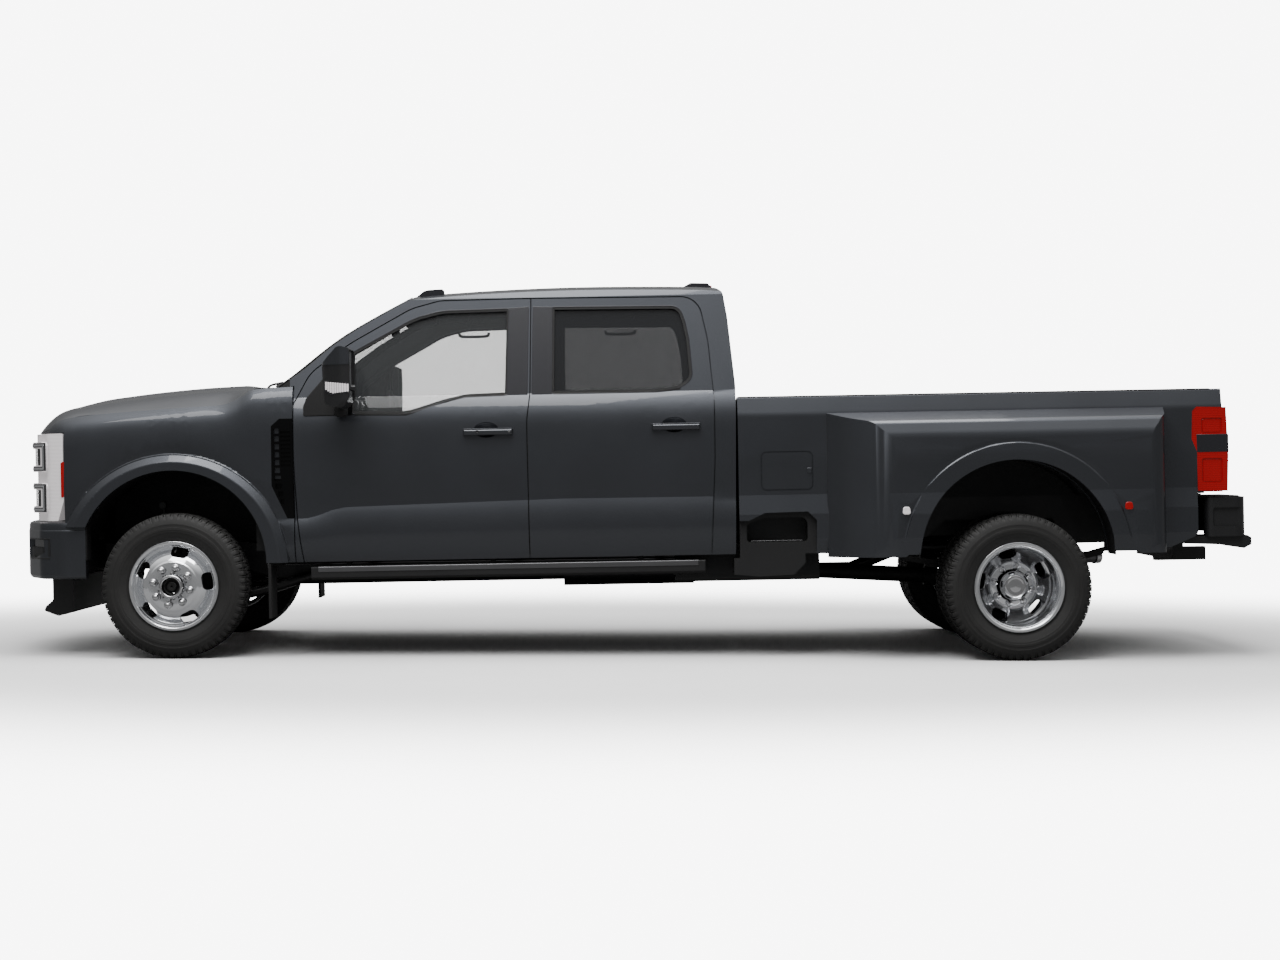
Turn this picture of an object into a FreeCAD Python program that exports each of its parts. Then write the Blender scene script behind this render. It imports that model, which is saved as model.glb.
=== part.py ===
"""Crew-cab pickup truck with dual rear wheels and a long bed.

Millimetres. The truck faces -X, its left side is -Y and +Z is up. The body is drawn
level, in its own frame, and turned nose-down by the rake at the end, about the front
axle. Wheels, axles, steering and springs are drawn straight in the truck's frame, with
z = 0 on the ground.
"""
import FreeCAD
import Part
import math
import os

from FreeCAD import Vector

# Stance and wheels
WHEELBASE = 4470.0
RAKE = math.radians(1.05)
TYRE_R = 386.0
TYRE_W = 245.0
BEAD_R = 217.0
FLANGE_R = 233.0
RIM_HALF = 95.0
FRONT_TYRE_Y = 950.0
DUAL_Y = 940.0
DUAL_HALF = 141.0
HAND_HOLES = 5
SPINDLE_R = 35.0
RUN = 0.08
SEAT = 0.3
KINGPIN_Y = 820.0
KINGPIN_R = 15.0
ARM = 200.0
FRONT_X = -2410.5
REAR_X = FRONT_X + WHEELBASE
AXLE_Z = TYRE_R

# Body
HALF = 1016.0
BOTTOM = 498.0
BELT = 1376.0
DOOR_TOP = 1890.0
GAP = 6.0
HANDLES = {"front": (-864.0, -595.0, 1174.0), "rear": (140.0, 404.0, 1184.0)}
SKIN = 35.0
OPENING_IN = 25.0
PANEL_IN = 40.0
GLASS_SET = 12.0
SAIL_REAR = -1452.0
GLASS_T = 5.0
CAB_REAR = 594.0
CAB_WALL = 60.0
ROOF_T = 45.0
FIREWALL = -1850.0
FLOOR = 600.0
FLOOR_T = 40.0
FENDER_T = 28.0
DOOR_FRONT = -1766.0

# Front end
HOOD_T = 35.0
HOOD_REAR = -1998.0
HOOD_HALF = 956.0
ARCH_F = (-2422.0, 497.0, 503.0)
LAMP_TOP = 1208.0
LAMP_BOTTOM = 742.0
LAMP_REAR = -2996.0
LIP_R = 617.0
LIP_HALF = 1034.0
VENT_DEPTH = 15.0
GRILLE_HALF = 640.0
BUMPER_TOP = 703.0
BUMPER_BOTTOM = 430.0

# Bed
BED_FRONT = 601.0
BED_REAR = 3180.0
RAIL_TOP = 1336.0
BED_FLOOR = 806.0
BED_FLOOR_T = 30.0
RIB_PITCH = 110.0
BED_INNER = 850.0
HOUSE_Y = 641.0
ARCH_R = (2052.0, 467.0, 510.0)
FLARE = 1219.0
GATE_X = 3152.0
GATE_Z = 824.0
GATE_T = 58.0

# Chassis
RAIL_IN = 394.0
RAIL_OUT = 470.0


def wire(points, place):
    """Closed wire through (u, v) corners; a third number rounds that corner by an arc."""
    count = len(points)
    marks = []
    for i, point in enumerate(points):
        u, v = point[0], point[1]
        radius = point[2] if len(point) > 2 else 0.0
        if radius <= 0:
            marks.append(((u, v), None, (u, v)))
            continue
        before, after = points[i - 1], points[(i + 1) % count]
        a = Vector(before[0] - u, before[1] - v, 0).normalize()
        b = Vector(after[0] - u, after[1] - v, 0).normalize()
        half = a.getAngle(b) / 2
        middle = (a + b).normalize()
        corner = Vector(u, v, 0)
        first = corner + a * (radius / math.tan(half))
        last = corner + b * (radius / math.tan(half))
        top = corner + middle * (radius / math.sin(half) - radius)
        marks.append(((first.x, first.y), (top.x, top.y), (last.x, last.y)))
    edges = []
    for i in range(count):
        start, top, end = marks[i]
        if top:
            edges.append(Part.Arc(place(*start), place(*top), place(*end)).toShape())
        following = place(*marks[(i + 1) % count][0])
        if following.distanceToPoint(place(*end)) > 1e-4:
            edges.append(Part.LineSegment(place(*end), following).toShape())
    return Part.Wire(edges)


def side(points, y0, y1, inset=0.0):
    """Solid from an outline seen from the side (x, z) between two y planes."""
    face = Part.Face(wire(points, lambda u, v: Vector(u, y0, v)))
    if inset:
        face = face.makeOffset2D(-inset)
    return face.extrude(Vector(0, y1 - y0, 0))


def section(points, x0, x1):
    """Solid from an outline seen from the front (y, z) between two x planes."""
    face = Part.Face(wire(points, lambda u, v: Vector(x0, u, v)))
    return face.extrude(Vector(x1 - x0, 0, 0))


def plan(points, z0, z1, inset=0.0):
    """Solid from an outline seen from above (x, y) between two z planes."""
    face = Part.Face(wire(points, lambda u, v: Vector(u, v, z0)))
    if inset:
        face = face.makeOffset2D(-inset)
    return face.extrude(Vector(0, 0, z1 - z0))


def softened(solid, radius, chosen):
    """The solid with a radius on the edges that chosen(centre) picks."""
    edges = [edge for edge in solid.Edges if chosen(edge.CenterOfMass, edge.BoundBox)]
    return solid.makeFillet(radius, edges)


def block(x0, x1, y0, y1, z0, z1):
    """Box between two corners."""
    return Part.makeBox(x1 - x0, y1 - y0, z1 - z0, Vector(x0, y0, z0))


def rod(radius, start, end):
    """Round bar between two points given as (x, y, z)."""
    begin, finish = Vector(*start), Vector(*end)
    return Part.makeCylinder(radius, (finish - begin).Length, begin, finish - begin)


def turned(points, x, z):
    """Ring turned about the y line through x, z, from an outline in y and radius."""
    face = Part.Face(wire(points, lambda u, v: Vector(x, u, z + v)))
    return face.revolve(Vector(x, 0, z), Vector(0, 1, 0), 360)


def moved(shape, x=0.0, y=0.0, z=0.0):
    """A copy shifted by x, y, z."""
    copy = shape.copy()
    copy.translate(Vector(x, y, z))
    return copy


def mirror(shape):
    """The same piece on the truck's other side."""
    return shape.mirror(Vector(0, 0, 0), Vector(0, 1, 0))


def whole(*shapes):
    """Pieces welded into one solid."""
    return shapes[0].multiFuse(list(shapes[1:])).removeSplitter()


def group(*shapes):
    """Separate solids kept together in one node."""
    return Part.makeCompound([solid for shape in shapes for solid in shape.Solids])


def both(shape):
    """The right piece and its left twin, as separate solids."""
    return group(shape, mirror(shape))


def step(stations, at):
    """Value at a place between (place, value) stations, in straight runs."""
    if at <= stations[0][0]:
        return stations[0][1]
    for (x0, v0), (x1, v1) in zip(stations, stations[1:]):
        if at <= x1:
            return v0 + (v1 - v0) * (at - x0) / (x1 - x0)
    return stations[-1][1]


def eased(stations, at):
    """Value on a smooth line through stations (place, value), without overshoot."""
    rises = [(b - a) / (y - x) for (x, a), (y, b) in zip(stations, stations[1:])]
    at = min(max(at, stations[0][0]), stations[-1][0])
    i = min(sum(1 for x, _ in stations if x <= at), len(rises)) - 1

    def slope(k):
        before, after = rises[max(k - 1, 0)], rises[min(k, len(rises) - 1)]
        return 2 * before * after / (before + after) if before * after > 0 else 0.0

    (x, low), (end, high) = stations[i], stations[i + 1]
    t = (at - x) / (end - x)
    bend = slope(i) * t * (1 - t) ** 2 - slope(i + 1) * t * t * (1 - t)
    return low + (high - low) * t * t * (3 - 2 * t) + (end - x) * bend


def under(xs, ys, height, depth):
    """Solid below the smooth surface z = height(x, y), down by depth."""
    surface = Part.BSplineSurface()
    surface.interpolate([[Vector(x, y, height(x, y)) for y in ys] for x in xs])
    return surface.toShape().extrude(Vector(0, 0, -depth))


def spline(points):
    """Smooth edge through points."""
    curve = Part.BSplineCurve()
    curve.interpolate(points)
    return curve.toShape()


# The body side's crease: its height at stations along the cab
CREASE = [
    (-1790, 729), (-1700, 732), (-1640, 747), (-1570, 773), (-1500, 787),
    (-1206, 794), (-337, 812), (700, 808),
]
MIRROR_SIDE = [
    (-1578, 1532, 40), (-1483, 1632, 30), (-1425, 1622, 20), (-1421, 1525, 60), (-1424, 1362, 40),
    (-1461, 1305, 30), (-1560, 1328, 30),
]
WALL_TOP = [(966, BELT), (848, 1900), (770, 2060), (770, 2200), (0, 2200), (0, BOTTOM)]


def side_wire(x, near, crease):
    """Half cross-section of the cab at x, with the outer skin moved inwards by near."""
    rise = crease - BOTTOM
    low = [(975, BOTTOM), (1006, BOTTOM + 0.3 * rise), (1015, BOTTOM + 0.62 * rise), (1000, crease)]
    high = [(1000, crease), (1010, crease + 150), (1013, 1130), (1005, 1270), (990, 1325), (966, BELT)]
    edges = [spline([Vector(x, y - near, z) for y, z in low])]
    edges.append(spline([Vector(x, y - near, z) for y, z in high]))
    corners = [Vector(x, y - near if y else 0, z) for y, z in WALL_TOP]
    corners.append(Vector(x, 975 - near, BOTTOM))
    for a, b in zip(corners, corners[1:]):
        edges.append(Part.LineSegment(a, b).toShape())
    return Part.Wire(edges)


def inside(near):
    """Right half of the cab's volume within its skin moved inwards by near."""
    return Part.makeLoft([side_wire(x, near, z) for x, z in CREASE], True, True)


# Shut lines and windows seen from the side
FRONT_DOOR = [
    (-1722, BOTTOM), (-1752, 733, 300), (DOOR_FRONT, 1058, 600), (DOOR_FRONT, 1340, 60),
    (-1680, 1505, 200), (-1477, 1657, 900), (-1139, 1846, 300), (-985, DOOR_TOP - 4, 200),
    (-499, DOOR_TOP), (-508, 1380, 300), (-526, 1230, 300), (-526, 1130, 300), (-522, BOTTOM),
]
REAR_DOOR = [
    (-516, BOTTOM), (-520, 1130, 300), (-520, 1230, 300), (-502, 1380, 300), (-493, DOOR_TOP),
    (400, DOOR_TOP - 6, 110), (449, 1649, 500), (476, 1330, 300), (474, 1006, 600), (448, BOTTOM),
]
FRONT_WINDOW = [
    (-1712, 1278, 10), (-1712, 1355, 80), (-1605, 1481, 200), (-1469, 1590, 600),
    (-1120, 1792, 200), (-975, 1828, 200), (-617, 1834, 10), (-630, BELT, 6),
    (-850, 1370, 200), (-960, 1345, 200), (-1165, 1282, 200),
]
REAR_WINDOW = [
    (-385, 1380, 8), (-378, 1838, 8), (300, 1832, 60), (343, 1700, 400), (361, 1446, 60),
    (300, 1396, 150), (170, 1380, 200),
]
CAB_SIDE = [
    (FIREWALL, BOTTOM), (FIREWALL, 1430), (-2060, 1430), (-2060, 2100), (440, 2100),
    (540, 1900, 60), (CAB_REAR - 34, 1775, 300), (CAB_REAR, 1400, 300), (CAB_REAR - 14, BOTTOM),
]
SCREEN_LINE = [
    (1380, -2050), (1462, -1949), (1505, -1881), (1647, -1696), (1732, -1568), (1820, -1409),
    (1896, -1265), (1945, -1160), (2010, -980),
]
SCREEN_BOW = 0.000155
ROOF_LINE = [
    (-1700, 1900), (-1250, 1952), (-1036, 1971), (-700, 1988), (-220, 1998), (95, 1995),
    (336, 1990), (620, 1965),
]
ROOM = [(0, 400), (888, 400), (888, 1330, 20), (904, BELT, 20), (786, 1900), (780, 2200), (0, 2200)]
BACK_WALL = [(885, FLOOR + SEAT), (885, 1330), (900, BELT), (782, DOOR_TOP + GAP)]


def behind_screen(back):
    """Everything behind the bowed windscreen, moved rearwards by back."""
    rows = []
    for z, x in SCREEN_LINE:
        rows.append([Vector(x + back + SCREEN_BOW * y * y, y, z) for y in range(-1100, 1101, 550)])
    surface = Part.BSplineSurface()
    surface.interpolate(rows)
    return surface.toShape().extrude(Vector(3200, 0, 0))


def roof_height(x, y):
    """Height of the roof's skin."""
    return step(ROOF_LINE, x) - 62.0 * (y / 820.0) ** 2


def under_roof(lift):
    """Everything below the roof's skin, raised by lift."""
    xs = [x for x, _ in ROOF_LINE]
    return moved(under(xs, (-1000, -820, -500, 0, 500, 820, 1000), roof_height, 1700), z=lift)


def rear_opening():
    """Rear window's opening."""
    return section([(-690, 1420, 50), (690, 1420, 50), (640, 1800, 60), (-640, 1800, 60)], 300, 700)


def screen_frame(extra):
    """Prism round the windscreen's edge, larger by extra."""
    low, high = 1437 - extra, 1922 + extra
    corners = [(-800 - extra, low), (800 + extra, low), (694 + extra, high, 60), (-694 - extra, high, 60)]
    return section(corners, -2100, -900)


def screen_recess():
    """Room for the windscreen in the pillars and roof."""
    return behind_screen(0).cut(behind_screen(14)).common(screen_frame(SEAT))


class Cab:
    """The cab's fixed panels and its four doors."""

    def __init__(self):
        """Makes the volumes that the panels and doors are cut from."""
        self.skin = inside(0)
        self.flange_back = inside(SKIN)
        self.seat = inside(SKIN + SEAT)
        self.room = section(ROOM, -2200, 710)
        self.outline = side(CAB_SIDE, -1100, 1100)
        self.ahead = behind_screen(0)

    def side_frame(self):
        """Right pillars, sill and roof rail, stepped back where the doors lie."""
        frame = self.skin.common(self.outline).cut(self.room)
        low = frame.common(block(-2100, 700, 0, 1100, 400, 1430))
        high = frame.common(block(-2100, 700, 0, 1100, 1430, DOOR_TOP + GAP)).common(self.ahead)
        frame = low.fuse(high)
        near = side(FRONT_DOOR, 700, 1100, -GAP).fuse(side(REAR_DOOR, 700, 1100, -GAP))
        near = near.fuse(block(-2100, DOOR_FRONT, 700, 1100, 400, 1440))
        frame = frame.cut(near.cut(self.seat))
        for outline in (FRONT_DOOR, REAR_DOOR):
            hole = side(outline, 700, 1100, OPENING_IN).cut(block(-2100, 700, 700, 1100, 400, FLOOR))
            frame = frame.cut(hole)
        sill = block(FIREWALL, CAB_REAR - 14, 840, 889, BOTTOM, FLOOR)
        return whole(frame.cut(screen_recess()), sill)

    def door(self, outline, window):
        """Right door: a flange over the frame and a panel that fits in the opening."""
        flange = side(outline, 700, 1100).common(self.skin).cut(self.flange_back)
        panel = side(outline, 700, 1100, PANEL_IN).common(self.flange_back).cut(self.room)
        panel = panel.cut(block(-2100, 700, 700, 1100, 400, FLOOR + 12))
        return whole(flange, panel).cut(side(window, 700, 1100))

    def glass(self, window):
        """Right side window, set back from the door's face."""
        pane = inside(GLASS_SET).cut(inside(GLASS_SET + GLASS_T))
        pane = pane.common(side(window, 700, 1100))
        return pane.common(block(SAIL_REAR + SEAT, 700, 700, 1100, 1000, 2000))

    def roof(self):
        """Roof panel with its lining."""
        top = self.skin.fuse(mirror(self.skin)).common(self.outline)
        top = top.common(block(-2100, 700, -1100, 1100, DOOR_TOP + GAP + SEAT, 2200))
        top = top.common(self.ahead).common(under_roof(0))
        hollow = section([(-786, 1800), (786, 1800), (770, 2100), (-770, 2100)], -2100, CAB_REAR - 90)
        hollow = hollow.common(under_roof(-ROOF_T)).common(behind_screen(70))
        return top.cut(hollow).cut(screen_recess())

    def back_panel(self):
        """Wall behind the rear seat, with the rear window's opening."""
        wall = self.outline.cut(moved(self.outline, x=-CAB_WALL))
        corners = BACK_WALL + [(-y, z) for y, z in reversed(BACK_WALL)]
        return wall.common(section(corners, 400, 700)).cut(rear_opening())


def cab_glass():
    """Windscreen and rear window."""
    screen = behind_screen(4).cut(behind_screen(14 - SEAT)).common(screen_frame(0))
    outline = side(CAB_SIDE, -800, 800)
    pane = moved(outline, x=-10).cut(moved(outline, x=-16)).common(rear_opening())
    return group(screen, pane)


def handle(place):
    """Right door's pull bar, and the sunk cup behind it."""
    x0, x1, z = HANDLES[place]
    bar = plan([(x0, 1000), (x0 + 6, 1040, 10), (x1 - 6, 1040, 10), (x1, 1000)], z - 17, z + 17)
    grip = [(990, z - 17), (1036, z - 17, 10), (1041, z + 10, 10), (1028, z + 17), (990, z + 17)]
    bar = bar.common(section(grip, x0, x1))
    middle = (x0 + x1) / 2
    cup = Part.makeSphere(60)
    stretch = FreeCAD.Matrix()
    stretch.scale(1.15, 0.42, 0.72)
    cup = cup.transformGeometry(stretch)
    return bar, moved(cup, middle - 10, 1019, z + 12)


def mirror_head():
    """Right towing mirror's housing, rounded from all three sides, with its two sunk glasses."""
    shape = side(MIRROR_SIDE, 1080, 1345)
    shape = shape.common(section([
        (1085, 1300, 30), (1345, 1300, 50), (1345, 1560, 80), (1318, 1640, 30), (1098, 1640, 30),
    ], -1600, -1400))
    shape = shape.common(plan([
        (-1400, 1085), (-1400, 1345), (-1470, 1345, 60), (-1580, 1290, 120), (-1580, 1085, 40),
    ], 1250, 1700))
    glass = [(1103, 1420, 20), (1327, 1420, 20), (1327, 1560, 60), (1305, 1612, 30), (1103, 1612, 20)]
    spotter = [(1103, 1335, 20), (1327, 1335, 20), (1327, 1404, 15), (1103, 1404, 15)]
    upper, lower = section(glass, -1441, -1390), section(spotter, -1441, -1390)
    return shape.cut(upper).cut(lower)


def roof_lamps():
    """Five clearance lamps along the roof's front edge and the brake lamp housing at its rear."""
    roof = under_roof(SEAT)
    lamps = []
    for y in (-600, -230, 0, 230, 600):
        x = -1172 + 0.00016 * y * y
        z = roof_height(x, y)
        lamp = [(x, z - 30), (x, z + 4, 6), (x + 40, z + 34, 20), (x + 128, z + 38, 10), (x + 134, z - 30)]
        lamps.append(side(lamp, y - 36, y + 36).cut(roof))
    brake = [(330, 1960), (345, 1993, 10), (382, 2012, 12), (478, 2009, 12), (498, 1990, 8), (500, 1950)]
    lamps.append(side(brake, -190, 190).cut(roof))
    return group(*lamps)


def make_cab(parts):
    """Adds the cab's panels, doors, mirrors and glass."""
    cab = Cab()
    parts["cab_pillars"] = both(cab.side_frame())
    parts["cab_roof"] = cab.roof()
    parts["cab_back_panel"] = cab.back_panel()
    parts["cab_glass"] = cab_glass()
    parts["roof_lamps"] = roof_lamps()
    wall = block(FIREWALL, FIREWALL + 30, -885, 885, FLOOR + SEAT, 1390)
    cowl = [
        (-1962, 1340), (-1962, 1412, 10), (-1905, 1436, 20), (-1790, 1436), (-1790, 1390), (FIREWALL, 1390),
        (FIREWALL, 1340),
    ]
    parts["cab_firewall"] = whole(wall, side(cowl, -885, 885))
    parts["cab_floor"] = block(FIREWALL, CAB_REAR - 14, -839.7, 839.7, FLOOR - FLOOR_T, FLOOR)
    for place, outline, window in (("front", FRONT_DOOR, FRONT_WINDOW), ("rear", REAR_DOOR, REAR_WINDOW)):
        bar, cup = handle(place)
        panel, pane = whole(cab.door(outline, window).cut(cup), bar), cab.glass(window)
        parts["door_" + place + "_right"] = panel
        parts["door_" + place + "_left"] = mirror(panel)
        parts["door_glass_" + place + "_right"] = pane
        parts["door_glass_" + place + "_left"] = mirror(pane)
    sail = inside(4).cut(inside(SKIN)).common(side(FRONT_WINDOW, 700, 1100))
    sail = sail.common(block(-1800, SAIL_REAR, 700, 1100, 1200, 1700))
    arms = whole(*[rod(r, (-1500, 920, z), (-1500, 1110, z)) for r, z in ((16, 1352), (13, 1418))])
    parts["mirror_right"] = whole(mirror_head(), arms.cut(inside(4)), sail)
    parts["mirror_left"] = mirror(parts["mirror_right"])


# Hood and fenders
HOOD_LINE = [
    (-3300, 1140), (-3262, 1205), (-3214, 1268), (-3132, 1336), (-3060, 1363), (-2896, 1391),
    (-2661, 1420), (-2308, 1448), (-2079, 1456), (-1900, 1460),
]
HOOD_DROP = [
    (-3100, 12), (-2967, 45), (-2780, 72), (-2555, 91), (-2325, 95), (-2159, 104), (-2056, 66),
    (-1994, 27), (-1900, 10),
]
HOOD_BOW = [(0, 0), (300, 10), (660, 45), (800, 85), (950, 160), (1020, 240)]
HOOD_XS = (
    -3320, -3280, -3240, -3200, -3150, -3100, -3040, -2967, -2896, -2780, -2661, -2480, -2308, -2230,
    -2160, -2110, -2060, -2010, -1970, -1940,
)
HOOD_YS = (
    -1020, -960, -880, -760, -640, -540, -440, -225, 0, 225, 440, 540, 640, 760, 880, 960, 1020,
)
DOME = 14.0
SEAM = [
    (-3110, 1208), (-3048, 1268), (-2967, 1291), (-2780, 1310), (-2555, 1324), (-2325, 1337),
    (-2159, 1345), (-2056, 1384), (-1994, 1424), (-1770, 1436),
]
NOSE_IN = [(-3110, 48), (-2990, 8), (-2900, 2), (-2800, 0)]
NOSE = [
    (-2900, -2), (-2900, 1012), (-2990, 1006, 150), (-3090, 965, 60), (-3185, 800, 100),
    (-3228, 640, 300), (-3262, 300, 900), (-3275, -2),
]
BUMPER = [
    (-2885, -2), (-2885, 1012), (-3010, 1008, 150), (-3140, 950, 80), (-3252, 740, 300),
    (-3325, 480, 600), (-3380, 100, 500), (-3380, -2),
]
AIR_DAM = [
    (-3137, BUMPER_BOTTOM - SEAT), (-3024, BUMPER_BOTTOM - SEAT), (-3029, 237, 15), (-3107, 218, 10),
    (-3186, 248, 10), (-3176, 273, 10), (-3137, 305, 20),
]
BUMPER_REAR = -2885.0
FOG_POCKET = [(-3300, 640, 15), (-3120, 646, 12), (-3114, 572, 12), (-3210, 536, 20), (-3300, 536, 15)]
HOOD_PLAN = [
    (HOOD_REAR, -2), (HOOD_REAR, HOOD_HALF), (-2990, HOOD_HALF - 6, 100), (-3086, 925, 60),
    (-3180, 780, 100), (-3222, 640, 300), (-3258, 300, 900), (-3270, -2),
]
LAMP_REAR_EDGE = [
    (-3400, 742), (-3033, 742, 6), (-2995, 863, 20), (-2988, 1172, 20), (-3003, 1208, 10), (-3400, 1208),
]
LAMP_BOWS = ((785, 945), (1005, 1165))
GRILLE_BOWS = (800, 930, 1020, 1150)
GRILLE_BANDS = ((832, 902), (958, 992), (1048, 1122))
VENT = [
    (-1886, 1226, 6), (-1842, 1265, 8), (-1700, 1265), (-1700, 733), (-1808, 733, 6), (-1888, 908, 8),
]
DOOR_SIDE_OF_FENDER = [
    (-1600, 400), (-1600, 1500), (-1772, 1500), (-1772, 1058, 600), (-1758, 733, 300), (-1727, 400),
]


def hood_height(x, y):
    """Height of the hood's skin: bowed, dropped towards the fenders, with a low dome."""
    out = max(0.0, (abs(y) - 450.0) / 510.0)
    along = step([(-3120, 0), (-2900, 1), (-2100, 1), (-2000, 0)], x)
    dome = DOME * step([(440, 1), (540, 0)], abs(y)) * along
    return eased(HOOD_LINE, x - eased(HOOD_BOW, abs(y))) - eased(HOOD_DROP, x) * out * out + dome - DOME / 2


def under_hood(lift):
    """Everything below the hood's skin, raised by lift."""
    return moved(under(HOOD_XS, HOOD_YS, hood_height, 900), z=lift)


def fender_wire(x):
    """Cross-section of the right fender at x."""
    seam, shift = eased(SEAM, x), eased(NOSE_IN, x)
    low = [(975, BOTTOM), (1006, 568), (1015, 640), (1000, 730)]
    high = [(1000, 730), (1011, 900), (1012, 1080), (1005, seam - 95), (990, seam - 40), (962, seam)]
    back = [
        (960, seam - FENDER_T), (964, seam - 60), (974, seam - 110), (984, 1060), (983, 900), (972, 730),
        (984, 640), (945, BOTTOM),
    ]
    edges = [spline([Vector(x, y - shift, z) for y, z in run]) for run in (low, high, back)]
    top = [Vector(x, 962 - shift, seam), Vector(x, 960 - shift, seam - FENDER_T)]
    foot = [Vector(x, 945 - shift, BOTTOM), Vector(x, 975 - shift, BOTTOM)]
    edges.insert(2, Part.LineSegment(*top).toShape())
    edges.append(Part.LineSegment(*foot).toShape())
    return Part.Wire(edges)


def arch(spec, grow, y0, y1):
    """Cylinder across a wheel arch, larger by grow."""
    return rod(spec[2] + grow, (spec[0], y0, spec[1]), (spec[0], y1, spec[1]))


def fender():
    """Right front fender with its arch, the arch's lip, the vent's recess and a ledge to the cowl."""
    stations = (
        -3104, -3075, -3048, -3019, -2990, -2945, -2900, -2840, -2780, -2660, -2555, -2440, -2325, -2240,
        -2180, -2135, -2100, -2070, -2040, -2010, -1980, -1920, -1772,
    )
    shell = Part.makeLoft([fender_wire(x) for x in stations], True, True)
    outer = shell.cut(moved(shell, y=-VENT_DEPTH)).common(block(-2000, -1700, 900, 1100, 400, 1400))
    x, _, z = ARCH_F[0], 0, ARCH_F[1] - 27
    lip = turned([(986, 440), (LIP_HALF, 440), (LIP_HALF, 575, 20), (1008, LIP_R, 10), (986, LIP_R)], x, z)
    groove = turned([(1070, LIP_R - 14), (1004, LIP_R, 8), (1070, LIP_R + 330)], x, z)
    lip = lip.common(block(-3100, -1792, 900, 1100, BOTTOM, 1200))
    shell = shell.cut(groove.cut(side(DOOR_SIDE_OF_FENDER, 800, 1100, -14))).fuse(lip)
    shell = shell.cut(arch(ARCH_F, 0, 900, 1100))
    shell = shell.cut(block(-3200, LAMP_REAR, 800, 1100, 400, LAMP_TOP + 4))
    shell = shell.cut(block(-3200, -2700, 800, 1100, 400, BUMPER_TOP + 4))
    shell = shell.cut(side(DOOR_SIDE_OF_FENDER, 800, 1100))
    shell = shell.cut(plan(HOOD_PLAN, 1200, 1500, -3))
    vent = outer.common(side(VENT, 900, 1100))
    shell = max(shell.cut(vent).Solids, key=lambda solid: solid.Volume)
    ledge = block(-1950, -1860, 885 + SEAT, 985, 1341, 1355)
    return whole(shell, ledge), outer


def fender_vent(outer):
    """Right vent in the fender's rear edge: a rail, a ladder of slots and a ribbed panel."""
    plate = outer.common(side(VENT, 900, 1100, SEAT))
    slots = []
    for i in range(10):
        z, half = 1200 - i * 42, 14
        front = step([(820, -1848), (908, -1878), (1230, -1878)], z - half) + 6
        rear = step([(820, -1822), (1010, -1844), (1300, -1846)], z)
        slots.append(block(front, rear, 900, 1100, z - half, z + half))
    ribs = [block(-1836, -1784, 1005.5, 1100, 1010 + i * 22, 1022 + i * 22) for i in range(9)]
    return plate.cut(group(*slots)).cut(group(*ribs))


def nose_layer(front, back, tuck=0.0):
    """Right half of the nose's curved front between two depths, its side tucked in behind."""
    nose = plan(NOSE, LAMP_BOTTOM, LAMP_TOP)
    return moved(nose, x=front, y=max(0.0, -front / 4)).cut(moved(nose, x=back, y=-tuck))


def headlamp():
    """Right lamp: a curved lens body with two sunk chambers, each framed by a raised C."""
    body = nose_layer(0, 110, 60)
    body = body.common(block(-3300, LAMP_REAR - 4, GRILLE_HALF, 1100, LAMP_BOTTOM, LAMP_TOP))
    body = body.common(side(LAMP_REAR_EDGE, 600, 1100))
    for low, high in LAMP_BOWS:
        inner, bottom, top = GRILLE_HALF - 5, low + 34, high - 34
        chamber = [(inner, bottom), (925, bottom, 12), (925, top, 12), (inner, top)]
        body = body.cut(section(chamber, -3400, -3000).common(nose_layer(-5, 45, 20)))
        bow = [(GRILLE_HALF, low), (962, low, 25), (962, high, 25), (GRILLE_HALF, high)]
        frame = section(bow, -3400, -3000).cut(section(chamber, -3400, -3000)).common(nose_layer(-22, 20, 10))
        body = body.fuse(frame.common(block(-3400, -3000, GRILLE_HALF, 1100, low, high)))
    return max(body.removeSplitter().Solids, key=lambda solid: solid.Volume)


def make_grille():
    """Grille: a curved surround with cross bars in line with the lamps, and an open lattice."""
    right = nose_layer(0, 60).common(block(-3300, -3000, -2, GRILLE_HALF - SEAT, LAMP_BOTTOM, LAMP_TOP))
    lattice = nose_layer(16, 44).common(block(-3300, -3000, -2, GRILLE_HALF - SEAT, LAMP_BOTTOM, LAMP_TOP))
    bars = []
    for low, high in GRILLE_BANDS:
        window = section([(-2, low), (612, low, 12), (612, high, 12), (-2, high)], -3400, -3000)
        right = right.cut(window)
        count = int((high - low) / 27)
        levels = [low + (high - low) * (i + 1) / (count + 1) for i in range(count)]
        bars += [block(-3400, -3000, -2, 618, z - 4, z + 4) for z in levels]
        bars += [block(-3400, -3000, y - 4, y + 4, low - 4, high + 4) for y in range(36, 600, 72)]
    bow = [block(-3400, -3000, -2, GRILLE_HALF - SEAT, z - 13, z + 13) for z in GRILLE_BOWS]
    proud = nose_layer(-14, 20).common(group(*bow))
    right = whole(right, lattice.common(bars[0].multiFuse(bars[1:])), proud)
    return whole(right, mirror(right))


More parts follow.
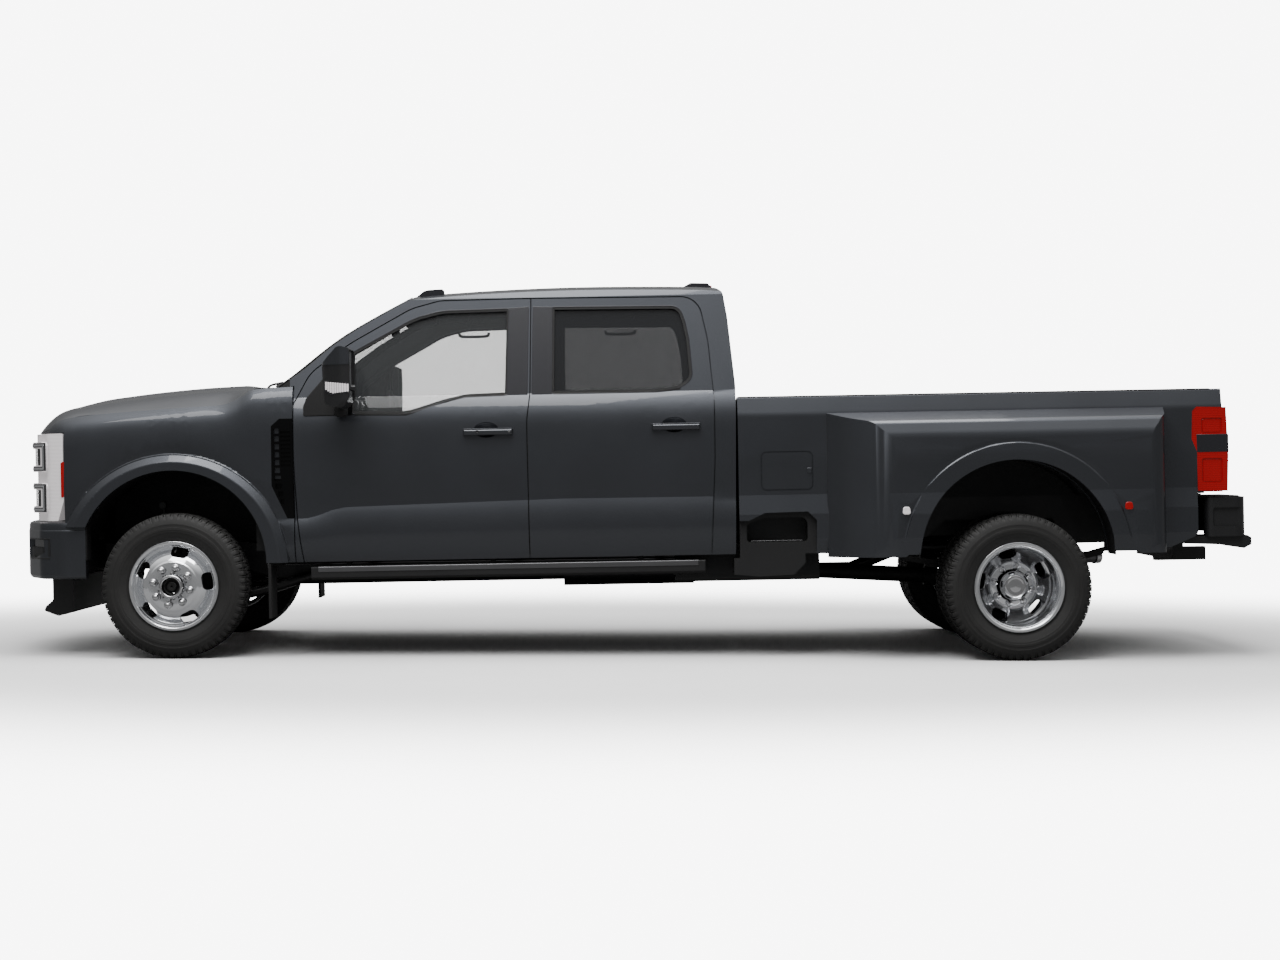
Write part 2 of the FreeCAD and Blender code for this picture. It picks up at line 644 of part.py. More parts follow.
def front_bumper():
    """Bumper shell with rounded edges, a lower air opening and a side lamp pocket."""
    outer = plan(BUMPER, BUMPER_BOTTOM, BUMPER_TOP)
    rim_of = softened(outer, 22, lambda c, b: (
        b.ZLength < 1 and b.YMin > -2.5 and b.XMax < BUMPER_REAR + 120 and b.XMax > BUMPER_REAR - 600
        and not (b.XLength < 1 and b.XMin > BUMPER_REAR - 1) and not (b.YLength < 1 and b.YMin < 0)))
    pocket = outer.cut(moved(outer, x=34, y=-26)).common(side(FOG_POCKET, 600, 1100))
    shell = rim_of.cut(moved(outer, x=120, y=-60)).cut(pocket)
    shell = shell.cut(section([(-3, 470), (500, 470, 20), (455, 570, 20), (-3, 570)], -3500, -3100))
    return whole(shell, mirror(shell))


def wheel_liner():
    """Right inner wheel house: a rolled sheet over the tyre and the apron inboard of it."""
    liner = turned([(608, 505), (958, 505), (958, 517), (608, 517)], ARCH_F[0], ARCH_F[1])
    liner = liner.common(block(-3100, -1840, 600, 1000, 560, 1100))
    liner = liner.cut(block(-3100, -2700, 870, 1000, 500, BUMPER_TOP + 8))
    apron = block(-3080 + SEAT, FIREWALL - SEAT, 608, 620, 560, 1180).cut(arch(ARCH_F, 8, 500, 1100))
    return whole(liner, apron)


def radiator_support():
    """Panel behind the grille, lamps and bumper, with two posts up to the hood."""
    core = block(-3130, -3080, -639, 639, 600, LAMP_BOTTOM)
    nose = plan(NOSE, LAMP_BOTTOM, LAMP_TOP)
    panel = moved(nose.fuse(mirror(nose)), x=60 + SEAT)
    panel = panel.common(block(-3300, -3080, -639, 639, LAMP_BOTTOM, 1160))
    wing = moved(nose, x=110 + SEAT, y=-60 - SEAT).common(block(-3200, -3080, 600, 1000, LAMP_BOTTOM, 1150))
    room = under_hood(-HOOD_T - SEAT)
    posts = [rod(12, (-3115, y, 1150), (-3115, y, 1400)).common(room) for y in (-500, 500)]
    return whole(core, panel, wing, mirror(wing), *posts)


def make_front(parts):
    """Adds the hood, fenders, lamps, grille and bumper."""
    right, outer = fender()
    parts["front_fenders"] = both(right)
    parts["fender_vents"] = both(fender_vent(outer))
    outline = plan(HOOD_PLAN, 1100, 1500)
    outline = outline.fuse(mirror(outline))
    hood = outline.common(under_hood(0)).cut(under_hood(-HOOD_T))
    parts["hood"] = hood.cut(block(-3300, -2900, -1000, 1000, 1000, LAMP_TOP + 5))
    parts["headlamps"] = both(headlamp())
    parts["grille"] = make_grille()
    parts["front_bumper"] = front_bumper()
    parts["air_dam"] = side(AIR_DAM, -720, 720)
    parts["radiator_support"] = radiator_support()
    parts["wheel_liners"] = both(wheel_liner())


# Bed
STEP_TOP = [(651, 675), (737, 716), (966, 720), (1013, 673), (1010, 495)]
BED_SIDE = [
    (BED_FRONT, RAIL_TOP), (BED_FRONT, 675), *STEP_TOP, (1553, 475), (2579, 478), (2902, 493, 60),
    (3044, 556, 40), (3044, 786), (BED_REAR, 786), (BED_REAR, RAIL_TOP),
]
BED_SECTION = [
    (BED_INNER, RAIL_TOP), (BED_INNER, BED_FLOOR - 20), (960, BED_FLOOR - 20), (960, 470), (975, 470),
    (1012, 572, 20), (HALF, 707, 20), (1000, 811, 8), (1012, 1000, 900), (1010, 1240, 120),
    (985, RAIL_TOP, 12),
]
FLARE_PLAN = [
    (1072, 940), (1072, 1010), (1290, FLARE, 520), (2740, FLARE, 120), (2838, 1180, 90), (2866, 1010),
    (2866, 940),
]
FLARE_SECTION = [
    (940, 474), (1180, 474), (1212, 572, 30), (FLARE, 700, 40), (1206, 811, 6), (1217, 1000, 600),
    (1208, 1120, 120), (1180, 1192, 40), (1004, 1243), (940, 1243),
]
FLARE_ROOM_PLAN = [(1120, 930), (1300, 1130), (1480, 1184), (2690, 1184), (2810, 1150), (2830, 930)]
FLARE_ROOM_SECTION = [(930, 400), (1184, 400), (1184, 1120), (1150, 1160), (930, 1205)]
LAMP_SIDE = [
    (3016, 1069), (3022, 1219), (3045, 1241), (3202, 1236), (3212, 984), (3205, 789), (3048, 792),
    (3044, 1002),
]
VALANCE = [
    (2960, 511), (3200, 500, 20), (3300, 479, 8), (3341, 500, 8), (3341, 537, 8), (3320, 550), (3092, 550),
    (3000, 549, 10),
]
FUEL_DOOR = [(725, 840, 25), (992, 840, 25), (992, 1037, 25), (725, 1037, 25)]


def flare():
    """Right wide arch over the twin wheels, hollow from within."""
    outer = plan(FLARE_PLAN, 470, 1250).common(section(FLARE_SECTION, 1000, 2900))
    room = plan(FLARE_ROOM_PLAN, 400, 1250).common(section(FLARE_ROOM_SECTION, 1000, 2900))
    return outer.cut(room).cut(block(1000, 2900, 900, 985, 400, 1300))


def bed_side():
    """Right bed wall with its flare, arch, lamp recess and tailgate pin hole."""
    wall = section(BED_SECTION, BED_FRONT, BED_REAR).common(side(BED_SIDE, 800, 1100))
    wall = wall.cut(side(LAMP_SIDE, 868, 1100, -SEAT))
    wall = wall.cut(plan(FLARE_ROOM_PLAN, 400, 1205).cut(block(1000, 2900, 800, 985, 400, 1300)))
    groove = turned([(1300, 580), (FLARE - 15, 597, 12), (1300, 1050)], ARCH_R[0], ARCH_R[1])
    wall = wall.fuse(flare().cut(groove))
    wall = wall.cut(arch(ARCH_R, 0, 800, 1300))
    wall = wall.cut(rod(10 + RUN, (GATE_X, 800, GATE_Z), (GATE_X, 864, GATE_Z)))
    return wall.removeSplitter()


def bed_floor():
    """Ribbed floor with the wheel houses."""
    top, low = BED_FLOOR, BED_FLOOR - BED_FLOOR_T
    floor = block(BED_FRONT + 30, 3118, -BED_INNER + SEAT, BED_INNER - SEAT, low, top)
    for wall in (1, -1):
        floor = floor.cut(arch(ARCH_R, 30 + SEAT, wall * HOUSE_Y, wall * 1000))
    for i in range(5):
        for y in (RIB_PITCH * (i + 0.5), -RIB_PITCH * (i + 0.5)):
            groove = [
                (BED_FRONT + 90, y - 24, 20), (3070, y - 24, 20), (3070, y + 24, 20), (BED_FRONT + 90, y + 24, 20),
            ]
            floor = floor.cut(plan(groove, top - 10, top + 10))
    ring = [(HOUSE_Y, 510), (BED_INNER - SEAT, 510), (BED_INNER - SEAT, 540), (HOUSE_Y, 540)]
    house = turned(ring, ARCH_R[0], ARCH_R[1])
    house = house.fuse(arch(ARCH_R, 30, HOUSE_Y + 0.5, HOUSE_Y + 24))
    house = house.common(block(1000, 3000, HOUSE_Y + 0.5, BED_INNER, low, 1100))
    return group(floor, house, mirror(house))


def tailgate():
    """Tailgate with a sunk outer panel, a handle cup and its pins."""
    rear = 3125 + GATE_T
    top = RAIL_TOP - 3
    outline = [(3125, 815), (3125, top, 8), (rear + 14, top, 8), (rear, top - 37, 20), (rear, 815, 10)]
    gate = side(outline, -844.5, 844.5)
    panel = [(-640, 880, 40), (640, 880, 40), (640, 1150, 40), (-640, 1150, 40)]
    cup = [(-120, 1185, 20), (120, 1185, 20), (120, 1245, 20), (-120, 1245, 20)]
    gate = gate.cut(section(panel, rear - 7, rear + 20)).cut(section(cup, rear - 24, rear + 20))
    pins = [rod(10, (GATE_X, y, GATE_Z), (GATE_X, y + 20, GATE_Z)) for y in (-860, 840)]
    return whole(gate, *pins)


def rear_bumper():
    """Step bumper on two mounts: rounded shell, low middle step, side pockets, plate recess."""
    corners = [(3092, -2), (3092, 985, 40), (3290, 985, 60), (3345, 800, 120), (3380, 350, 400), (3380, -2)]
    shell, mount = plan(corners, 546, 754), block(3088 + SEAT, 3290, 396, 468, 560, 735)
    room = moved(shell, x=-90, y=-60).common(block(3000, 3400, -2, 1100, 500, 720))
    shell = shell.cut(room).cut(block(3240, 3400, -3, 300, 700, 800))
    shell = shell.cut(side([(3130, 600, 15), (3290, 600, 15), (3290, 700, 15), (3130, 700, 15)], 973, 1100))
    shell = shell.cut(section([(-3, 575), (160, 575, 8), (160, 680, 8), (-3, 680)], 3369, 3400))
    pads = plan([(3110, 400, 15), (3320, 400, 15), (3290, 940, 30), (3110, 940, 15)], 754, 760)
    valance = side(VALANCE, 560, 955).cut(plan(corners, 546, 600))
    half = whole(shell, pads, mount, valance)
    return whole(half, mirror(half))


def make_bed(parts):
    """Adds the bed, tailgate, tail lamps and fuel door."""
    right = bed_side()
    skin = mirror(section(BED_SECTION, 700, 1000))
    behind = moved(skin, y=12 + SEAT)
    left = mirror(right).cut(side(FUEL_DOOR, -1100, -900, -5.2).cut(behind))
    left = left.cut(side(FUEL_DOOR, -1100, -940, 14))
    parts["fuel_door"] = side(FUEL_DOOR, -1100, -900).common(skin).cut(moved(skin, y=12))
    parts["bed_sides"] = group(right, left)
    parts["bed_floor"] = bed_floor()
    low = BED_FLOOR - BED_FLOOR_T
    parts["bed_front_wall"] = block(
        BED_FRONT, BED_FRONT + 30 - SEAT, -BED_INNER + SEAT, BED_INNER - SEAT, low, RAIL_TOP - 6)
    parts["tailgate"] = tailgate()
    lamp = side(LAMP_SIDE, 868 + SEAT, 1008)
    for z0, z1 in ((835, 965), (1098, 1180)):
        lamp = lamp.cut(side([(3070, z0, 12), (3180, z0, 12), (3180, z1, 12), (3070, z1, 12)], 1000, 1100))
    parts["tail_lamps"] = both(lamp)
    parts["rear_bumper"] = rear_bumper()


# Chassis
RAIL_SIDE = [
    (-3190, 455), (-2150, 455, 60), (-1950, 392, 60), (700, 392, 60), (1250, 560, 100), (2650, 560, 100),
    (3088, 500), (3088, 700), (2700, 749.4, 100), (1150, 749.4, 100), (600, 559.7, 100), (-1950, 559.7, 60),
    (-2150, 599.7, 60), (-3190, 599.7),
]
CROSS_BARS = (
    (-3130, 460, 590), (-1240, 400, 450), (-600, 515, 550), (500, 450, 550), (1500, 600, 740),
    (2300, 620, 740), (3000, 520, 690),
)


def exhaust():
    """Exhaust from the engine to behind the right rear wheels, hung over the axle."""
    line = [
        (-2030, 250, 572), (-1930, 250, 356), (1300, 250, 356), (1600, 290, 470), (2330, 290, 470),
        (2560, 420, 372), (2720, 800, 366), (2860, 880, 366),
    ]
    runs = [rod(36, a, b) for a, b in zip(line, line[1:])]
    bends = [Part.makeSphere(36, Vector(*point)) for point in line[1:-1]]
    hangers = [block(530, 550, 240, 260, 370, 450 - SEAT), block(2310, 2330, 282, 298, 470, 620 - SEAT)]
    return whole(*runs, *bends, *hangers, rod(92, (-380, 250, 376), (380, 250, 376)))


def driveline():
    """Transmission with the shafts to both axles."""
    case = side([
        (-1990 + SEAT, 452), (-1990 + SEAT, 559), (-1500, 559, 30), (-1150, 545, 30), (-1150, 455, 20),
    ], -170, 170)
    rear = whole(
        rod(44, (-1149, 0, 500), (1775, 0, 314)), rod(58, (-1149, 0, 500), (-1090, 0, 496)),
        rod(58, (1700, 0, 319), (1775, 0, 314)))
    front = whole(
        rod(26, (-2210, -215, 402), (-1420, -215, 480)), rod(40, (-1440, -215, 478), (-1400, -215, 482)),
        block(-1400, -1250, -255, -170.3, 454, 540))
    return group(case, rear, front)


def side_step():
    """Right step moulding behind the cab with its sunk, ribbed tread."""
    outline = [(570, 675), *STEP_TOP, (951, 496), (951, 446), (891, 383, 20), (704, 376), (570, 389)]
    body = side(outline, 850, 985, SEAT).cut(block(560, BED_FRONT + 1, 800, 1100, 476, 700))
    well = [(640, 560, 20), (965, 560, 20), (965, 690, 40), (735, 690, 40), (640, 655, 20)]
    body = body.cut(side(well, 890, 1100))
    treads = [block(660 + i * 32, 676 + i * 32, 900, 978, 556, 564) for i in range(9)]
    return whole(body, *treads)


def make_chassis(parts):
    """Adds the frame, underbody and the steps."""
    rail = side(RAIL_SIDE, RAIL_IN, RAIL_OUT)
    bars = [block(x, x + 80, -RAIL_IN - 10, RAIL_IN + 10, z0, z1) for x, z0, z1 in CROSS_BARS]
    parts["frame"] = whole(rail, mirror(rail), *bars)
    top = BED_FLOOR - BED_FLOOR_T - SEAT
    parts["bed_sills"] = group(*[block(x, x + 60, -845, 845, 749.7, top) for x in (1180, 1400, 2620)])
    engine = block(-2880, -1990, -330, 330, 600, 1230)
    mount = block(-2580, -2480, -RAIL_IN + SEAT, RAIL_IN - SEAT, 540, 640)
    parts["engine_block"] = whole(engine, mount)
    parts["transmission"] = driveline()
    parts["exhaust"] = exhaust()
    tank = section([
        (-780, 345, 25), (-RAIL_OUT - SEAT, 345, 25), (-RAIL_OUT - SEAT, 550), (-780, 550, 25),
    ], 260, 1040)
    parts["fuel_tank"] = tank
    tube = block(3030, 3318, -38, 38, 380, 456)
    receiver = whole(block(3030, 3088, -470, 470, 400, 499.7), tube)
    parts["hitch_receiver"] = receiver.cut(block(3100, 3320, -25.5, 25.5, 392.5, 443.5))
    board = section([
        (790, 400, 10), (962, 400, 12), (975, 412, 8), (975, 470, 8), (952, 473, 6), (948, 440), (790, 440),
    ], -1690, 416)
    brackets = [block(x, x + 60, RAIL_OUT + SEAT, 800, 405, 435) for x in (-1450, -650, 150)]
    parts["running_boards"] = both(whole(board, *brackets))
    parts["side_steps"] = both(side_step())
    flap = whole(block(-1909, -1895, 840, 1040, 204, 494), block(-1909, -1850.3, 840, 938, 480, 600))
    parts["mud_flaps"] = both(flap)


def seat(outline, y0, y1, rests):
    """Seat from its side outline, with head restraints on posts at the given places."""
    x, z = outline[4][0], outline[4][1]
    shape = side(outline, y0, y1)
    rest = [(x + 12, z + 52, 25), (x + 2, z + 215, 40), (x + 92, z + 225, 40), (x + 98, z + 60, 25)]
    for y in rests:
        pad = side(rest, y - 130, y + 130)
        posts = [rod(7, (x + 45, y + off, z - 20), (x + 50, y + off, z + 80)) for off in (-60, 60)]
        shape = whole(shape, pad, *posts)
    return shape


def make_interior(parts):
    """Adds the dashboard with its steering wheel and console, and the seats."""
    back = FIREWALL + 30 + SEAT
    dash = side([
        (back, 900), (-1560, 960, 40), (-1470, 1120, 60), (-1440, 1230, 30), (-1560, 1330, 60),
        (-1760, 1380, 40), (back, 1380),
    ], -880, 880)
    brow = side([(-1640, 1300), (-1640, 1375, 20), (-1470, 1365, 15), (-1490, 1280)], -620, -220)
    console = side([
        (-1540, FLOOR + SEAT), (-1540, 1000), (-1420, 940, 60), (-1180, 860, 60), (-640, 880, 30),
        (-640, FLOOR + SEAT),
    ], -140, 140)
    column = rod(25, (-1520, -420, 1143), (-1250, -420, 1237))
    ring = Part.makeTorus(185, 15, Vector(-1250, -420, 1237), Vector(0.94, 0, 0.34))
    spoke = rod(10, (-1250, -600, 1237), (-1250, -240, 1237))
    lower = rod(10, (-1250, -420, 1237), (-1192, -420, 1076))
    boss = rod(48, (-1262, -420, 1233), (-1238, -420, 1241))
    parts["dashboard"] = whole(dash, brow, console, column, ring, spoke, lower, boss)
    chair = [
        (-1150, FLOOR + SEAT), (-1180, 870, 40), (-1100, 930, 30), (-640, 900, 60), (-560, 1420, 30),
        (-480, 1430, 25), (-540, FLOOR + SEAT),
    ]
    bench = [
        (-100, FLOOR + SEAT), (-130, 900, 40), (-60, 960, 30), (330, 930, 60), (400, 1440, 25),
        (470, 1450, 20), (520, FLOOR + SEAT),
    ]
    parts["seats"] = group(
        seat(chair, -700, -160, (-430,)), seat(chair, 160, 700, (430,)),
        seat(bench, -700, 700, (-440, 0, 440)),
    )


# Wheels are drawn for the right side, about the axle
def tyre(y):
    """Tyre on its centre plane at y."""
    half, bead = TYRE_W / 2, RIM_HALF + 3 - SEAT
    outer = [
        (bead, BEAD_R), (bead, 238), (112, 258), (half, 296), (half, 312), (117, 350), (106, 374),
        (92, 382), (50, TYRE_R),
    ]
    inner = [(84, BEAD_R), (90, 250), (106, 300), (98, 348), (50, 366)]
    right = outer + [(-u, v) for u, v in reversed(outer)]
    left = [(-u, v) for u, v in inner] + [(u, v) for u, v in reversed(inner)]
    return turned([(y + u, v) for u, v in right + left], 0, 0)


def rim(y, face, hub):
    """Rim barrel centred at y with a dished disc whose hub face is at y = face."""
    low, seat = BEAD_R - 12, BEAD_R - SEAT
    barrel = [
        (-RIM_HALF - 10, FLANGE_R), (-RIM_HALF - 3, FLANGE_R), (-RIM_HALF - 3, seat), (RIM_HALF + 3, seat),
        (RIM_HALF + 3, FLANGE_R), (RIM_HALF + 10, FLANGE_R), (RIM_HALF + 10, low), (-RIM_HALF - 10, low),
    ]
    out = 1 if face > y else -1
    root = y + out * 60
    disc = [
        (root, low + 2), (root + out * 14, low + 2), (root + out * 18, 190, 8), (face - out * 6, 152, 14),
        (face, 122, 10), (face, hub), (face - out * 12, hub), (face - out * 12, 116, 8),
        (face - out * 19, 147, 10), (root + out * 4, 186, 8),
    ]
    return turned([(y + u, v) for u, v in barrel], 0, 0).fuse(turned(disc, 0, 0))


def hand_holes(y0, y1, radius):
    """Obround openings through a disc between two y planes."""
    cuts = []
    for i in range(HAND_HOLES):
        hole = block(-26, 26, y0, y1, radius - 17, radius + 17)
        ends = [rod(17, (u, y0, radius), (u, y1, radius)) for u in (-26, 26)]
        hole = whole(hole, *ends)
        hole.rotate(Vector(0, 0, 0), Vector(0, 1, 0), 360.0 / HAND_HOLES * i)
        cuts.append(hole)
    return group(*cuts)


def front_wheel():
    """Right front tyre and rim with its hub and brake disc."""
    face = FRONT_TYRE_Y + 136
    bore = SPINDLE_R + RUN
    hub = turned([
        (900, bore), (900, 75), (face, 75), (face + 8, 112, 4), (face + 20, 108, 6), (face + 24, 74, 8),
        (face + 50, 62, 6), (face + 50, 44), (1092, 44), (1092, bore),
    ], 0, 0)
    brake = turned([(900, 60), (900, 178), (912, 178), (912, 60)], 0, 0)
    brake = brake.fuse(turned([(918, 60), (918, 178), (930, 178), (930, 60)], 0, 0))
    wheel = rim(FRONT_TYRE_Y, face, 60).cut(hand_holes(960, 1100, 165))
    return tyre(FRONT_TYRE_Y), whole(wheel, hub, brake)


def rear_wheel():
    """Right twin tyres and rims."""
    bore = SPINDLE_R + RUN
    outer = rim(DUAL_Y + DUAL_HALF, DUAL_Y, 60)
    inner = rim(DUAL_Y - DUAL_HALF, DUAL_Y, 60)
    section_of_hub = [(870, bore), (870, 80), (1020, 80), (1050, 50, 10), (1050, 0), (1012, 0), (1012, bore)]
    hub = turned(section_of_hub, 0, 0)
    wheels = outer.fuse(inner).cut(hand_holes(820, 1080, 165))
    return group(tyre(DUAL_Y - DUAL_HALF), tyre(DUAL_Y + DUAL_HALF)), whole(wheels, hub)


def knuckle():
    """Right steering knuckle about the axle's end."""
    y = KINGPIN_Y
    body = whole(
        block(-36, 36, y - 36, y + 30, -88, 88),
        rod(KINGPIN_R, (0, y, -116), (0, y, 116)),
        rod(SPINDLE_R, (0, y, 0), (0, 1088, 0)),
        block(30, ARM + 20, y - 15, y + 15, -70, -50),
    )
    return body.cut(rod(8 + RUN, (ARM, y, -80), (ARM, y, -40)))


def front_axle():
    """Front axle with the yokes that hold the knuckles, and its offset differential."""
    y = KINGPIN_Y
    yoke = whole(
        block(-40, 40, 700, 760, -112, 112), block(-30, 30, 740, y + 24, 93, 112),
        block(-30, 30, 740, y + 24, -112, -93))
    yoke = yoke.cut(rod(KINGPIN_R + RUN, (0, y, -130), (0, y, 130)))
    banjo = [(-300, 0), (-300, 90, 30), (-235, 145, 40), (-145, 145, 40), (-80, 90, 30), (-80, 0)]
    case = turned(banjo, 0, 0)
    nose = rod(60, (0, -215, 0), (190, -215, 10))
    return whole(rod(55, (0, -720, 0), (0, 720, 0)), yoke, mirror(yoke), case, nose)


def make_running_gear(parts):
    """Adds wheels, axles, steering and springs in the truck's frame."""
    front_tyre, front_rim = front_wheel()
    rear_tyres, rear_rims = rear_wheel()
    arm = knuckle()
    for tag, twin in (("right", moved), ("left", mirror)):
        parts["tyre_front_" + tag] = moved(twin(front_tyre), x=FRONT_X, z=AXLE_Z)
        parts["rim_front_" + tag] = moved(twin(front_rim), x=FRONT_X, z=AXLE_Z)
        parts["tyres_rear_" + tag] = moved(twin(rear_tyres), x=REAR_X, z=AXLE_Z)
        parts["rims_rear_" + tag] = moved(twin(rear_rims), x=REAR_X, z=AXLE_Z)
        parts["knuckle_" + tag] = moved(twin(arm), x=FRONT_X, z=AXLE_Z)
    pins = [rod(8, (ARM, y, -92), (ARM, y, -48)) for y in (-KINGPIN_Y, KINGPIN_Y)]
    bar = whole(rod(12, (ARM, -KINGPIN_Y, -92), (ARM, KINGPIN_Y, -92)), *pins)
    parts["tie_rod"] = moved(bar, x=FRONT_X, z=AXLE_Z)
    parts["front_axle"] = moved(front_axle(), x=FRONT_X, z=AXLE_Z)
    rear = whole(
        rod(60, (0, -850, 0), (0, 850, 0)), rod(SPINDLE_R, (0, -1008, 0), (0, 1008, 0)),
        rod(170, (0, -120, 0), (0, 120, 0)), rod(90, (-250, 0, 0), (0, 0, 0)),
    )
    parts["rear_axle"] = moved(rear, x=REAR_X, z=AXLE_Z)
    seat = RAIL_OUT + SEAT
    coil = whole(
        rod(62, (FRONT_X, 545, AXLE_Z + 50), (FRONT_X, 545, 560)),
        block(FRONT_X - 70, FRONT_X + 70, seat, 610, 555, 590),
    ).cut(rod(55 + SEAT, (FRONT_X, 400, AXLE_Z), (FRONT_X, 700, AXLE_Z)))
    spring = [(1300, 560), (1300, 600), (REAR_X, 500), (2800, 640), (2800, 600), (REAR_X, 446.3)]
    leaf = whole(
        side(spring, 505, 580), block(1290, 1340, seat, 580, 560, 660),
        block(2740, 2800, seat, 580, 590, 680),
        block(REAR_X - 70, REAR_X + 70, 500, 585, 446.3, 530),
    )
    parts["suspension"] = group(coil, mirror(coil), leaf, mirror(leaf))


def export(parts, straight):
    """Turns the body nose-down by the rake, centres the truck and writes its STEP files."""
    os.makedirs("parts", exist_ok=True)
    pivot = Vector(FRONT_X, 0, AXLE_Z)
    placed = {name: shape.copy() for name, shape in parts.items()}
    for name in placed:
        if name not in straight:
            placed[name].rotate(pivot, Vector(0, 1, 0), -math.degrees(RAKE))
    middle = (placed["front_bumper"].BoundBox.XMin + placed["rear_bumper"].BoundBox.XMax) / 2
    print("centre shift", -middle)
    for name, shape in placed.items():
        moved(shape, x=-middle).exportStep("parts/" + name + ".step")


def main():
    """Builds every piece and exports it."""
    parts, gear = {}, {}
    for making in (make_cab, make_front, make_bed, make_chassis, make_interior):
        making(parts)
        print(making.__name__)
    make_running_gear(gear)
    parts.update(gear)
    for name, shape in parts.items():
        box = shape.BoundBox
        sizes = [round(v) for v in (box.XMin, box.XMax, box.YMin, box.YMax, box.ZMin, box.ZMax)]
        print(name, shape.isValid(), [round(s.Volume / 1e6, 2) for s in shape.Solids], sizes)
    export(parts, gear)


if __name__ == "__main__":
    main()
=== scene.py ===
"""Crew-cab pickup truck with twin rear wheels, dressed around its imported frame.

Lengths inside the classes are millimetres. Points of the body are given in the body's
own level frame and turned nose-down by the rake when a mesh is placed; wheels and axles
are given about their axle's middle. Paired pieces are drawn on the right side, +Y.
"""
import logging
import math
from dataclasses import dataclass
from enum import Enum
from typing import Callable, Sequence

import bmesh
import bpy
from mathutils import Matrix, Vector


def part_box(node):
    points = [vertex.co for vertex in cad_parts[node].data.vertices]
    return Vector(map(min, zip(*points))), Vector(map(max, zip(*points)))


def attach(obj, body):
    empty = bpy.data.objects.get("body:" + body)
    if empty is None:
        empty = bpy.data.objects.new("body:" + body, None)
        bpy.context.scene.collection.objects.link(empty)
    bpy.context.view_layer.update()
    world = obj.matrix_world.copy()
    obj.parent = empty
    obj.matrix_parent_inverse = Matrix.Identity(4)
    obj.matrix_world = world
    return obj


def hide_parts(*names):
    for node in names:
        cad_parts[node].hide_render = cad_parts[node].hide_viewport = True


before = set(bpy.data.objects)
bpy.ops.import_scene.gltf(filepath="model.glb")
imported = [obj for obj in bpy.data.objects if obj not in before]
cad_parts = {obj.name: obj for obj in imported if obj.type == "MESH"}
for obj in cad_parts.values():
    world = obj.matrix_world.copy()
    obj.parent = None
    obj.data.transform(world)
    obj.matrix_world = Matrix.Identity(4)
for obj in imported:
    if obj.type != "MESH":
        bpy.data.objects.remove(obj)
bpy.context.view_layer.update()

LOG = logging.getLogger("truck")

Point2 = tuple[float, float]
Point3 = tuple[float, float, float]
Corners = Sequence[tuple[float, ...]]
Link = tuple[bpy.types.Node, str | int, bpy.types.Node, str | int]
WHITE = (1.0, 1.0, 1.0, 1.0)


class Side(Enum):
    """The truck's left and right."""

    LEFT = -1
    RIGHT = 1

    @property
    def tag(self) -> str:
        """Name used in node and body names."""
        return self.name.lower()


class Plane(Enum):
    """Plane in which an outline is drawn."""

    SIDE = "xz"
    FRONT = "yz"
    TOP = "xy"

    def place(self, u: float, v: float, w: float) -> Point3:
        """Point whose outline place is u, v and whose depth across the plane is w."""
        return {"xz": (u, w, v), "yz": (w, u, v), "xy": (u, v, w)}[self.value]


@dataclass(frozen=True)
class Stance:
    """How the body stands on its wheels."""

    wheelbase: float = 4470.0
    rake_deg: float = 1.05
    axle_z: float = 386.0
    front_axle: float = -2410.5

    @property
    def shift(self) -> float:
        """Distance that centres the drawing on the frame's origin."""
        low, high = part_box("tyre_front_right")
        return (low.x + high.x) * 500.0 - self.front_axle

    def body_matrix(self) -> Matrix:
        """Matrix from body millimetres to the row frame in metres.

        Returns:
            The matrix.
        """
        pivot = Vector((self.front_axle, 0.0, self.axle_z))
        turn = Matrix.Rotation(-math.radians(self.rake_deg), 4, "Y")
        move = Matrix.Translation(pivot) @ turn @ Matrix.Translation(-pivot)
        return Matrix.Scale(0.001, 4) @ Matrix.Translation((self.shift, 0.0, 0.0)) @ move

    def level_matrix(self) -> Matrix:
        """Matrix from straight millimetres to the row frame in metres."""
        return Matrix.Scale(0.001, 4) @ Matrix.Translation((self.shift, 0.0, 0.0))

    def axle_matrix(self, rear: bool) -> Matrix:
        """Matrix from millimetres about an axle's middle to the row frame.

        Args:
            rear: True for the rear axle, False for the front one.

        Returns:
            The matrix in metres.
        """
        x = self.front_axle + (self.wheelbase if rear else 0.0)
        return self.level_matrix() @ Matrix.Translation((x, 0.0, self.axle_z))


STANCE = Stance()
BODY = STANCE.body_matrix()
LEVEL = STANCE.level_matrix()
FRONT_AXLE = STANCE.axle_matrix(False)
REAR_AXLE = STANCE.axle_matrix(True)


def new_node(
    tree: bpy.types.NodeTree, kind: str, inputs: dict[str | int, object] | None = None, **options: str
) -> bpy.types.Node:
    """Shader node with its options and input values set.

    Args:
        tree: The nodes that it joins.
        kind: Its type, without the leading ShaderNode.
        inputs: Values by the input's name or number.
        options: Settings of the node itself.

    Returns:
        The node.
    """
    node = tree.nodes.new(f"ShaderNode{kind}")
    for name, value in options.items():
        setattr(node, name, value)
    for name, value in (inputs or {}).items():
        node.inputs[name].default_value = value
    return node


def wire(tree: bpy.types.NodeTree, *links: Link) -> None:
    """Links nodes: each link names a node, its output, the next node and its input."""
    for source, output, target, entry in links:
        tree.links.new(source.outputs[output], target.inputs[entry])


